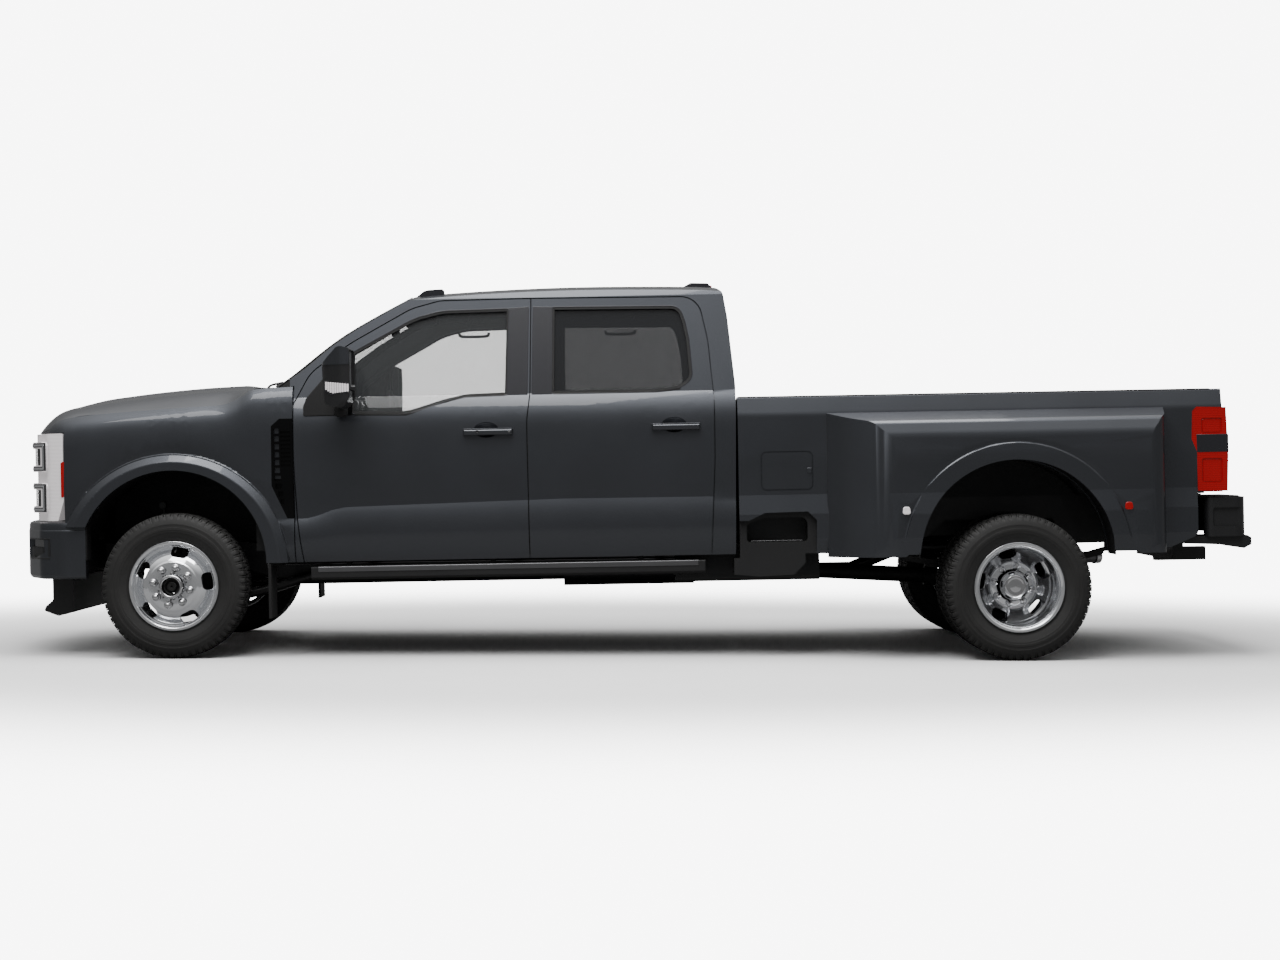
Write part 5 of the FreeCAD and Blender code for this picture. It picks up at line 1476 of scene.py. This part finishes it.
@dataclass(frozen=True)
class NoseTrim:
    """Lamp frames, dark chambers, markers, fog lamp pockets, the bumper's inner parts and vent details."""

    nose: Corners = (
        (-2900, -2), (-2900, 1012), (-2990, 1006, 150), (-3090, 965, 60), (-3185, 800, 100),
        (-3228, 640, 300), (-3262, 300, 900), (-3275, -2),
    )
    bumper: Corners = (
        (-2885, -2), (-2885, 1012), (-3010, 1008, 150), (-3140, 950, 80), (-3252, 740, 300),
        (-3325, 480, 600), (-3380, 100, 500), (-3380, -2),
    )
    bows: tuple[Point2, ...] = ((785.0, 945.0), (1005.0, 1165.0))
    lamp_start: float = 640.0
    lamp_reach: float = 376.0
    bumper_start: float = 740.0

    def path(self, start_y: float, end_x: float) -> list[Vector]:
        """Points of the nose's plan from a half width round to a place on its side.

        Args:
            start_y: Half width where it starts.
            end_x: Place along the truck where it ends.

        Returns:
            The points in order.
        """
        loop = [p for p in rounded(self.nose, 5.0) if p.y > 0]
        loop.sort(key=lambda p: (p.x, -p.y))
        spots = [p for p in loop if p.y >= start_y - 1 and p.x <= end_x]
        return sorted(spots, key=lambda p: p.x)

    def wrap(self, form: Form, start_y: float) -> Form:
        """Bends a form drawn as (along, depth, z) round the nose.

        Args:
            form: The form: x runs along the nose from start_y outwards, y stands out from it.
            start_y: Half width where x is nought.

        Returns:
            The bent form.
        """
        spots = self.path(start_y, -2950)
        lengths = [0.0]
        for a, b in zip(spots, spots[1:]):
            lengths.append(lengths[-1] + (b - a).length)

        def bent(point: Vector) -> Vector:
            """One point carried onto the nose.

            Args:
                point: Its place along the nose, its depth and its height.

            Returns:
                The point in the body's frame.
            """
            at = min(max(point.x, 0.0), lengths[-1] - 0.1)
            i = next(k for k in range(len(lengths) - 1) if lengths[k + 1] > at)
            t = (at - lengths[i]) / (lengths[i + 1] - lengths[i])
            here = spots[i].lerp(spots[i + 1], t)
            along = (spots[min(i + 2, len(spots) - 1)] - spots[max(i - 1, 0)]).normalized()
            out = Vector((-along.y, along.x))
            return Vector((here.x + out.x * point.y, here.y + out.y * point.y, point.z))

        return form.shape(bent)

    def strip(self, x0: float, x1: float, z0: float, z1: float, low: float, high: float) -> Form:
        """Bar along the nose in short lengths, so that it can be bent.

        Args:
            x0: Where it starts along the nose.
            x1: Where it ends.
            z0: Its lower edge.
            z1: Its upper edge.
            low: Depth of its back.
            high: Depth of its face.

        Returns:
            The bar.
        """
        length = 12
        count = max(2, int((x1 - x0) / length))
        rows = []
        for k in range(count + 1):
            x = x0 + (x1 - x0) * k / count
            rows.append([(x, low, z0), (x, high, z0 + 1.5), (x, high, z1 - 1.5), (x, low, z1)])
        return Form().rows(rows)

    def lamps(self) -> None:
        """Rims and light bars on the lamps' C frames, dark chambers with projectors, and side markers."""
        reach, start = self.lamp_reach, self.lamp_start
        for tag, (low, high) in zip(("lower", "upper"), self.bows):
            rim = Form()
            rim.add(self.strip(4, reach - 16, high - 30, high - 4, 21, 25))
            rim.add(self.strip(4, reach - 16, low + 4, low + 30, 21, 25))
            rim.add(self.strip(reach - 42, reach - 14, low + 4, high - 4, 21, 25))
            self.wrap(rim, start).pair(f"lamp_bow_{tag}", LAMP_FRAME, bevel=0.8)
            light = Form()
            light.add(self.strip(10, reach - 26, high - 22, high - 12, 25, 27))
            light.add(self.strip(10, reach - 26, low + 12, low + 22, 25, 27))
            light.add(self.strip(reach - 33, reach - 24, low + 14, high - 14, 25, 27))
            self.wrap(light, start).pair(f"lamp_light_bar_{tag}", ALLOY, bevel=0.6)
            dark = self.strip(2, reach - 56, low + 38, high - 38, -40, -36)
            self.wrap(dark, start).pair(f"lamp_chamber_{tag}", GLOSS_BLACK)
            window = self.strip(2, reach - 42, low + 31, high - 31, 9, 12)
            self.wrap(window, start).pair(f"lamp_window_{tag}", SMOKED_GLASS)
            projectors = Form()
            for k in range(3):
                ring = Form().lathe([(0, 20), (14, 27), (14, 31), (0, 31)], 32)
                ring.add(Form().lathe([(2, 0.1), (9, 10), (4, 20)], 32, closed=False))
                projectors.add(ring.move(x=56 + 88 * k, y=-36, z=(low + high) / 2))
            self.wrap(projectors, start).pair(f"lamp_projectors_{tag}", CHROME, sharp=50.0)
        marker = [(-3012, 866, 6), (-2999, 866, 6), (-2993, 1062, 6), (-3012, 1050, 6)]
        Form().prism(marker, Plane.SIDE, 990, 1004.5).pair("side_marker_front", RED_LENS, bevel=1.0)

    def bumper_wrap(self, form: Form) -> Form:
        """Bends a form drawn as (along, depth, z) round the bumper's corner."""
        return NoseTrim(nose=self.bumper).wrap(form, self.bumper_start)

    def sliced(self, corners: Corners, low: float, high: float) -> Form:
        """Outline in (along, z) cut into upright slices, so that it can be bent.

        Args:
            corners: The outline.
            low: Depth of its back.
            high: Depth of its face.

        Returns:
            The form.
        """
        slices = 24
        loop = rounded(corners)
        start, end = min(p.x for p in loop), max(p.x for p in loop)
        rows = []
        for k in range(slices + 1):
            x = start + 0.2 + (end - start - 0.4) * k / slices
            levels = []
            for a, b in zip(loop, [*loop[1:], loop[0]]):
                if (a.x - x) * (b.x - x) < 0:
                    levels.append(a.y + (b.y - a.y) * (x - a.x) / (b.x - a.x))
            z0, z1 = min(levels), max(levels)
            rows.append([(x, low, z0), (x, high, z0), (x, high, z1), (x, low, z1)])
        return Form().rows(rows)

    def bumper_half(self, z: float, inset: float) -> list[Point3]:
        """Right half of the bumper's plan, drawn in by a distance, at a height."""
        return [(p.x, p.y, z) for p in grown(rounded(self.bumper, 8.0), -inset) if p.y > -40]

    def low_front(self) -> None:
        """Fog lamp pockets, the bumper's top, slats, backing and ends, arch brackets and the dam's ribs."""
        pocket = [(20, 536, 8), (250, 536, 18), (296, 570, 10), (290, 650, 10), (20, 640, 10)]
        self.bumper_wrap(self.sliced(pocket, -30, -24)).pair("fog_pocket", GLOSS_BLACK)
        rim = Form()
        for z0, z1 in ((536, 547), (640, 651)):
            rim.add(self.strip(14, 296, z0, z1, -26, 2))
        rim.add(self.strip(286, 300, 550, 649, -26, 2))
        self.bumper_wrap(rim).pair("fog_bezel", SATIN, bevel=0.8)
        levels = ((690, 3), (716, 3), (729, 8), (735, 22))
        low_cap = Form().rows([self.bumper_half(z, inset) for z, inset in levels])
        low_cap.pair("bumper_top", PAINT, sharp=45.0)
        slats = Form()
        for z in (492, 514, 536):
            slats.tube([(-3290, 380, z), (-3330, 150, z), (-3335, 0, z)], 5.0, 8, flat=0.6)
        slats.pair("bumper_slats", BLACK_PLASTIC)
        backing = Form().rows([self.bumper_half(z, 14) for z in (470, 600)])
        backing.pair("bumper_backing", BLACK_PLASTIC)
        close = Form().prism(oblong(-2900, -2880, 530, 742), Plane.SIDE, 900, 1004)
        close.pair("bumper_end_liner", BLACK_PLASTIC)
        rear = [(-1990, 560), (-1838, 560), (-1838, 800), (-1905, 960), (-1990, 1010)]
        Form().prism(rear, Plane.SIDE, 905, 911).pair("front_arch_backing", BLACK_PLASTIC)
        y = 985
        outer = flowing([(-2010, y, 1010), (-1960, y, 905), (-1925, y, 800), (-1905, y, 690)])
        inner = flowing([(-1975, y, 1000), (-1935, y, 900), (-1895, y, 800), (-1885, y, 700)])
        bracket = Form().tube(outer, 5.0, 8).tube(inner, 4.0, 8)
        for x0, z0, x1, z1 in ((-1990, 950, -1952, 950), (-1962, 900, -1932, 890), (-1938, 840, -1906, 822),
                               (-1922, 780, -1892, 760), (-1908, 715, -1886, 712)):
            bracket.tube([(x0, y, z0), (x1, y, z1)], 3.5, 8)
        bracket.pair("arch_bracket", STEEL)
        dam = Form().prism(oblong(-3120, -3095, 300, 420, 6), Plane.SIDE, 560, 566)
        dam.array(2, y=90).pair("dam_ribs", SATIN, bevel=1.0)

    def vents(self) -> None:
        """Bright strip under the vents' caps, and the dark blade below them."""
        strip = [(-1878, 1233, 2), (-1772, 1229, 2), (-1772, 1238, 2), (-1874, 1243, 2)]
        Form().prism(strip, Plane.SIDE, 990, 1006.5).pair("vent_strip", CHROME, bevel=0.6)
        blade = [
            (-1884, 912, 2), (-1812, 738, 4), (-1778, 738, 4), (-1800, 830, 30), (-1838, 980, 30),
            (-1870, 980, 4)]
        Form().prism(blade, Plane.SIDE, 985, 996.5).pair("vent_blade", DEEP_BLACK, bevel=1.5)

    def build(self) -> None:
        """Makes the nose's trim."""
        self.lamps()
        self.low_front()
        self.vents()


@dataclass(frozen=True)
class BedTrim:
    """Rail caps, tie-downs, lamp inserts, markers, gate latch, bumper pads, arch linings and steps."""

    arch: Point2 = (2052.0, 467.0)
    arch_radius: float = 516.0
    arch_inner: float = 984.0
    arch_outer: float = 1188.0
    wall_y: float = 842.0

    def build(self) -> None:
        """Makes the bed's trim."""
        cap = [(848, 1330), (848, 1338.5, 3), (985, 1338.5, 4), (988, 1328, 3), (980, 1336), (852, 1336)]
        Form().prism(cap, Plane.FRONT, 604, 3120).pair("rail_cap", BLACK_PLASTIC)
        gate = [(3127, 1332.5), (3127, 1336.5, 3), (3194, 1336.5, 4), (3198, 1326, 3), (3195, 1332.5)]
        Form().prism(gate, Plane.SIDE, -self.wall_y, self.wall_y).piece("gate_cap", BLACK_PLASTIC, "tailgate")
        latch = Form().prism(oblong(-96, 96, 1196, 1230, 14), Plane.FRONT, 3162, 3178)
        latch.piece("gate_latch", SATIN, "tailgate", bevel=3.0)
        circle = [(18 * math.cos(a), 0, 18 * math.sin(a)) for a in ring_angles(24)]
        ring = Form().tube(circle, 4, 8, closed=True)
        for index, (x, z) in enumerate(((720, 900), (720, 1250), (3040, 900), (3040, 1250))):
            spot = Form().add(ring).turn(90, "Z").move(x=x, y=self.wall_y, z=z)
            spot.turn(90, "Z", (x, self.wall_y, z)).pair(f"tie_down_{index}", STEEL)
        middle = [(3046, 998), (3213.5, 998, 2), (3213, 1092, 2), (3043, 1092)]
        Form().prism(middle, Plane.SIDE, 869, 1010).pair("tail_lamp_middle", GLOSS_BLACK, bevel=1.5)
        for z0, z1 in ((842, 958), (1104, 1174)):
            block = Form().prism(oblong(3078, 3172, z0, z1, 8), Plane.SIDE, 998, 1003)
            block.pair(f"tail_reflector_{z0}", RED_LENS, bevel=1.0)
        for tag, x, z, finish in (("front", 1469.0, 719.0, WHITE_LENS), ("rear", 2635.0, 724.0, RED_LENS)):
            drop = [(x - 22, z - 20, 12), (x + 22, z - 20, 12), (x + 16, z + 20, 12), (x - 18, z + 20, 12)]
            Form().prism(drop, Plane.SIDE, 1200, 1224).pair(f"flare_marker_{tag}", finish, bevel=3.0)
        tab = Form().prism(oblong(966, 990, 925, 952, 5), Plane.SIDE, 1010, 1013.2)
        tab.piece("fuel_door_tab", PAINT, "fuel_door", side=Side.LEFT, bevel=1.5)
        pads = Form()
        for k in range(9):
            pads.prism(oblong(3128, 3302 - k * 1.5, 0, 14, 3), Plane.TOP, 759, 763)
            pads.move(y=44)
        pads.move(y=440).pair("bumper_tread", RUBBER, bevel=1.0)
        self.steps()
        self.wheel_house()

    def wheel_house(self) -> None:
        """Dark lining of the rear arches, with the plates ahead of and behind the wheels."""
        steps = 44
        rows = []
        for k in range(steps + 1):
            a = math.pi * k / steps
            x = self.arch[0] - self.arch_radius * math.cos(a)
            z = self.arch[1] + self.arch_radius * math.sin(a)
            back = x + (self.arch[0] - x) * 0.005
            rows.append([
                (x, self.arch_inner, z), (x, self.arch_outer, z), (back, self.arch_outer, z + 3),
                (back, self.arch_inner, z + 3)])
        Form().rows(rows).pair("rear_arch_lining", BLACK_PLASTIC)
        for x0, x1 in ((1532, 1538), (2566, 2572)):
            wall = Form().prism(oblong(x0, x1, 985, 1186), Plane.TOP, 486, 560)
            wall.pair(f"rear_arch_end_{x0}", BLACK_PLASTIC)
        skirt = Form().prism([
            (640, 560), (1640, 560), (1740, 650), (2330, 650), (2400, 510), (3060, 520), (3060, 905),
            (640, 905)], Plane.SIDE, 655, 659)
        skirt.pair("bed_underskirt", CHASSIS)
        tail = Form().prism(oblong(-860, 860, 690, 812), Plane.FRONT, 3066, 3071)
        tail.piece("bed_end_panel", CHASSIS)
        for tag, outline in (
            ("front", [(1120, 500), (1560, 500), (1560, 560), (1600, 806), (1120, 806)]),
            ("rear", [(2520, 806), (2552, 560), (2552, 500), (2880, 510), (2990, 540), (2990, 806)]),
        ):
            plate = Form().prism(outline, Plane.SIDE, 940, 946)
            plate.pair(f"rear_splash_plate_{tag}", BLACK_PLASTIC, bevel=1.0)

    def steps(self) -> None:
        """Treads of the steps, the boards' bright strips and ribs, and the flaps' plates."""
        tread = Form()
        for y in (960, 940, 920):
            tread.prism(oblong(662, 940, y, y + 12, 3), Plane.TOP, 564, 568)
        tread.pair("step_tread", STEEL, bevel=1.0)
        strip = [(948, 442, 3), (978, 442, 3), (978, 471, 5), (948, 475, 4)]
        Form().prism(strip, Plane.FRONT, -1653, 379).pair("board_strip", STEEL, bevel=1.0)
        ribs = Form().prism(oblong(800, 808, 439, 444, 2), Plane.FRONT, -1680, 410)
        ribs.array(11, y=13).pair("board_ribs", RUBBER)
        plate = Form().prism(oblong(842, 1034, 472, 494, 4), Plane.FRONT, -1912, -1908.5)
        plate.pair("flap_plate", STEEL, bevel=0.8)


@dataclass(frozen=True)
class Underbody:
    """Lines, harness, braces and bolts along the frame, the crossmember's pan and the exhaust tip."""

    line_y: float = 476.0
    harness_y: float = 486.0

    def build(self) -> None:
        """Makes the underbody's small parts."""
        for index, z in enumerate((470.0, 486.0, 502.0)):
            rise = ((-1900, -4), (-1200, 0), (0, -6), (620, 0), (1180, 140), (1500, 150))
            line = Form().tube(flowing([(x, self.line_y, z + up) for x, up in rise]), 4.5, 8)
            line.piece(f"brake_line_{index}", STEEL, side=Side.LEFT)
        y = self.harness_y
        harness = Form().tube(flowing([
            (-1900, y, 545), (-1300, y + 2, 530), (-500, y, 540), (300, y, 532), (620, y, 545),
            (1180, y, 690), (1900, y, 700), (2700, y, 690)]), 10.0, 8)
        harness.pair("wiring_harness", RUBBER)
        bolts = Form().lathe([(469, 1), (469, 17), (473, 17), (474, 11), (481, 10), (482, 1)], 6)
        bolts.move(x=-1750, z=500).array(11, x=230)
        bolts.pair("frame_bolts", STEEL)
        brace = Form()
        for x in (-1560.0, -760.0, 60.0):
            brace.prism([(x, 402, 8), (x + 26, 402, 8), (x + 26, 470, 8), (x, 560, 8)], Plane.SIDE, 474, 500)
        brace.pair("board_braces", CHASSIS, bevel=2.0)
        pan = [(-2030, 300, 40), (-1960, 300, 40), (-1960, 372, 30), (-2030, 372, 30)]
        Form().prism(pan, Plane.SIDE, -380, 380).piece("crossmember_pan", CHASSIS, bevel=4.0)
        tip = Form().tube([(2850, 872, 366), (2884, 892, 366)], 41.0, 28)
        tip.piece("exhaust_tip", CHROME)


@dataclass(frozen=True)
class Seats:
    """Padded cloth seats: swollen cushions and backs, head restraints and trim."""

    voxel: float = 7.0
    swell_frames: int = 20
    pressure: float = 4.0
    cap: float = 24.0
    head_cap: float = 14.0
    front_y: Point2 = (-690.0, -170.0)
    bench_y: Point2 = (-695.0, 695.0)
    seat_gap: float = 860.0

    def pad(
        self, name: str, corners: Corners, y0: float, y1: float, shrink: float, most: float
    ) -> bpy.types.Object:
        """Args:
            name: The piece's name.
            corners: Its side outline.
            y0: Its one side.
            y1: Its other side.
            shrink: How much smaller than the outline it starts.
            most: The most that a point may move.

        Returns:
            The cushion.
        """
        loop = grown(rounded(corners, 20.0), -shrink)
        stations = ((0.0, 26.0), (0.04, 9.0), (0.14, 0.0), (0.5, 0.0), (0.86, 0.0), (0.96, 9.0), (1.0, 26.0))
        rows = []
        for t, inset in stations:
            y = y0 + shrink + (y1 - y0 - 2 * shrink) * t
            rows.append([(p.x, y, p.y) for p in grown(loop, -inset)])
        made = Form().rows(rows).piece(name, CLOTH, sharp=180.0)
        self.swell(made, most)
        return made

    def swell(self, made: bpy.types.Object, most: float) -> None:
        """Remeshes a pad and lets cloth pressure round it.

        Args:
            made: The pad.
            most: The most that a point may move, in millimetres.
        """
        bpy.context.view_layer.objects.active = made
        remesh = made.modifiers.new("even_mesh", "REMESH")
        remesh.mode = "VOXEL"
        remesh.voxel_size = self.voxel / 1000.0 * 1
        self.keep(made)
        rest = [v.co.copy() for v in made.data.vertices]
        cloth = made.modifiers.new("swell", "CLOTH")
        cloth.settings.use_pressure = True
        cloth.settings.uniform_pressure_force = self.pressure
        cloth.settings.effector_weights.gravity = 0.0
        cloth.point_cache.frame_start = 1
        cloth.point_cache.frame_end = self.swell_frames
        for number in range(1, self.swell_frames + 1):
            bpy.context.scene.frame_set(number)
        self.keep(made)
        bpy.context.scene.frame_set(1)
        for vert, was in zip(made.data.vertices, rest):
            step = vert.co - was
            if step.length > most / 1000.0:
                vert.co = was + step.normalized() * most / 1000.0
        smooth(made, 180.0)

    @staticmethod
    def keep(made: bpy.types.Object) -> None:
        """Makes a piece's modifiers part of its mesh.

        Args:
            made: The piece.
        """
        view = bpy.context.evaluated_depsgraph_get()
        data = bpy.data.meshes.new_from_object(made.evaluated_get(view))
        made.modifiers.clear()
        made.data = data

    def twin(self, made: bpy.types.Object, name: str, shift: float) -> bpy.types.Object:
        """Copy of a cushion beside it.

        Args:
            made: The cushion.
            name: The copy's name.
            shift: How far it stands to the side, in millimetres.

        Returns:
            The copy.
        """
        data = made.data.copy()
        data.transform(Matrix.Translation((0.0, shift / 1000.0, 0.0)))
        other = bpy.data.objects.new(name, data)
        bpy.context.scene.collection.objects.link(other)
        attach(other, "truck")
        return other

    def build(self) -> None:
        """Makes the two front seats and the rear bench."""
        cushion = [(-1170, 800, 30), (-1178, 880, 50), (-1095, 928, 60), (-680, 902, 60), (-640, 800, 40)]
        back = [(-650, 850, 40), (-645, 930, 60), (-566, 1400, 50), (-490, 1418, 40), (-532, 850, 40)]
        bench = [(-105, 800, 30), (-126, 890, 50), (-60, 956, 60), (330, 928, 60), (350, 800, 40)]
        rear_back = [(330, 850, 40), (338, 940, 60), (402, 1425, 45), (466, 1440, 40), (505, 850, 40)]
        base = self.pad("front_cushion_left", cushion, *self.front_y, 10, self.cap)
        rest = self.pad("front_back_left", back, *self.front_y, 10, self.cap)
        self.twin(base, "front_cushion_right", self.seat_gap)
        self.twin(rest, "front_back_right", self.seat_gap)
        long_base = self.pad("bench_cushion", bench, *self.bench_y, 10, self.cap)
        self.pad("bench_back", rear_back, *self.bench_y, 8, self.cap)
        for tag, x, z, ys in (
            ("front", -562.0, 1430.0, (-430.0, 430.0)), ("bench", 402.0, 1440.0, (-440.0, 0.0, 440.0)),
        ):
            head = [(x + 14, z + 54, 25), (x + 4, z + 212, 40), (x + 90, z + 222, 40), (x + 96, z + 62, 25)]
            first = self.pad(f"{tag}_head_rest_0", head, ys[0] - 128, ys[0] + 128, 8, self.head_cap)
            for index, y in enumerate(ys[1:]):
                self.twin(first, f"{tag}_head_rest_{index + 1}", y - ys[0])
            posts = Form()
            for y in ys:
                for off in (-60, 60):
                    posts.tube([(x + 45, y + off, z - 40), (x + 50, y + off, z + 90)], 6.5, 12)
            posts.piece(f"{tag}_rest_posts", CHROME)
        frames = Form()
        for y0, y1 in ((-670.0, -190.0), (190.0, 670.0)):
            frames.prism([(-1140, 601), (-1120, 800, 30), (-640, 800, 30), (-600, 601)], Plane.SIDE, y0, y1)
        frames.prism([(-70, 601), (-80, 800, 30), (400, 800, 30), (480, 601)], Plane.SIDE, -660, 660)
        frames.piece("seat_bases", BLACK_PLASTIC, bevel=4.0)
        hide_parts("seats")
        seams = Form()
        for y in (-690.0, -170.0, 170.0, 690.0):
            seams.tube(flowing([(-1150, y, 900), (-1090, y, 918), (-700, y, 898)]), 2.5, 6)
        seams.piece("seat_piping", RUBBER)


@dataclass(frozen=True)
class Studio:
    """Floor, sky, soft lights and the camera at the photograph's angle."""

    image_width: float = 1280.0
    focal_px: float = 2307.0
    horizon_px: float = 462.0
    image_middle_px: float = 480.0
    camera: Point3 = (65.0, -13300.0, 1045.0)
    sensor: float = 36.0

    def build(self) -> None:
        """Makes the stage, the lights and the camera."""
        bpy.ops.mesh.primitive_plane_add(size=160.0)
        floor = bpy.context.object
        floor.name = "studio_floor"
        floor.data.materials.append(self.floor_material())
        world = bpy.data.worlds.new("studio_sky")
        world.use_nodes = True
        self.sky(world.node_tree)
        bpy.context.scene.world = world
        self.softbox("top_light", (0.0, -1.5, 8.0), (0.0, 0.0, 0.0), 6.0, 850.0)
        self.softbox("side_light", (-2.5, -7.2, 9.6), (0.0, 0.0, 0.6), 5.5, 560.0)
        self.view()

    @staticmethod
    def sky(tree: bpy.types.NodeTree) -> None:
        """White backdrop, and a soft sky that is dim at the horizon and bright overhead.

        Args:
            tree: The world's nodes.
        """
        place = new_node(tree, "TexCoord")
        parts = new_node(tree, "SeparateXYZ")
        shade = new_node(
            tree, "MapRange", {"From Min": 0.3, "From Max": 0.95, "To Min": 0.2, "To Max": 1.3},
            interpolation_type="SMOOTHSTEP")
        ray = new_node(tree, "LightPath")
        pick = new_node(tree, "Mix", {"B": 8.0})
        sky = tree.nodes["Background"]
        sky.inputs["Color"].default_value = WHITE
        wire(
            tree, (place, "Generated", parts, "Vector"), (parts, "Z", shade, "Value"),
            (shade, "Result", pick, "A"), (ray, "Is Camera Ray", pick, "Factor"),
            (pick, "Result", sky, "Strength"))

    @staticmethod
    def floor_material() -> bpy.types.Material:
        """Pale matt floor, dim in reflections, that fades into the white backdrop.

        Returns:
            The material.
        """
        material = bpy.data.materials.new("studio_floor")
        material.use_nodes = True
        tree = material.node_tree
        shader = tree.nodes["Principled BSDF"]
        shader.inputs["Roughness"].default_value = 0.85
        place = new_node(tree, "TexCoord")
        squash = new_node(tree, "Mapping", {"Scale": (0.2, 0.28, 0.0)})
        far = new_node(tree, "VectorMath", operation="LENGTH")
        fade = new_node(
            tree, "MapRange", {"From Min": 0.75, "From Max": 1.9, "To Min": 1.0, "To Max": 0.0},
            interpolation_type="SMOOTHERSTEP")
        grain = new_node(tree, "TexNoise", {"Scale": 3.0})
        pale = new_node(tree, "MapRange", {"To Min": 0.89, "To Max": 0.93})
        ray = new_node(tree, "LightPath")
        shown = new_node(tree, "Mix", {"A": 0.16})
        wire(
            tree, (place, "Object", squash, "Vector"), (squash, "Vector", far, 0),
            (far, "Value", fade, "Value"), (fade, "Result", shader, "Alpha"),
            (place, "Object", grain, "Vector"), (grain, "Fac", pale, "Value"),
            (ray, "Is Camera Ray", shown, "Factor"), (pale, "Result", shown, "B"),
            (shown, "Result", shader, "Base Color"))
        return material

    def softbox(self, name: str, place: Point3, aim: Point3, size: float, power: float) -> None:
        """One square area light.

        Args:
            name: The light's name.
            place: Where it stands, in metres.
            aim: The point it faces.
            size: Length of its edge, in metres.
            power: Watts.
        """
        data = bpy.data.lights.new(name, "AREA")
        data.shape = "SQUARE"
        data.size = size
        data.energy = power
        lamp = bpy.data.objects.new(name, data)
        lamp.location = place
        lamp.rotation_euler = (Vector(aim) - Vector(place)).to_track_quat("-Z", "Y").to_euler()
        bpy.context.scene.collection.objects.link(lamp)

    def view(self) -> None:
        """Camera that looks square at the truck's left side."""
        data = bpy.data.cameras.new("photo_camera")
        data.sensor_width = self.sensor
        data.lens = self.sensor * self.focal_px / self.image_width
        data.shift_y = (self.horizon_px - self.image_middle_px) / self.image_width
        data.clip_end = 200.0
        eye = bpy.data.objects.new("photo_camera", data)
        eye.location = LEVEL @ Vector(self.camera)
        eye.rotation_euler = (math.pi / 2, 0.0, 0.0)
        bpy.context.scene.collection.objects.link(eye)
        bpy.context.scene.camera = eye


def main() -> None:
    """Builds the truck's dress and the studio."""
    logging.basicConfig(level=logging.INFO, format="%(message)s")
    CadDress().dress()
    for part in (Tyres(), Wheels(), Springs(), DoorTrim(), TowMirrors(), CabTrim(), NoseTrim(), BedTrim(),
                 Underbody(), Seats()):
        part.build()
    Studio().build()


if __name__ == "__main__":
    main()
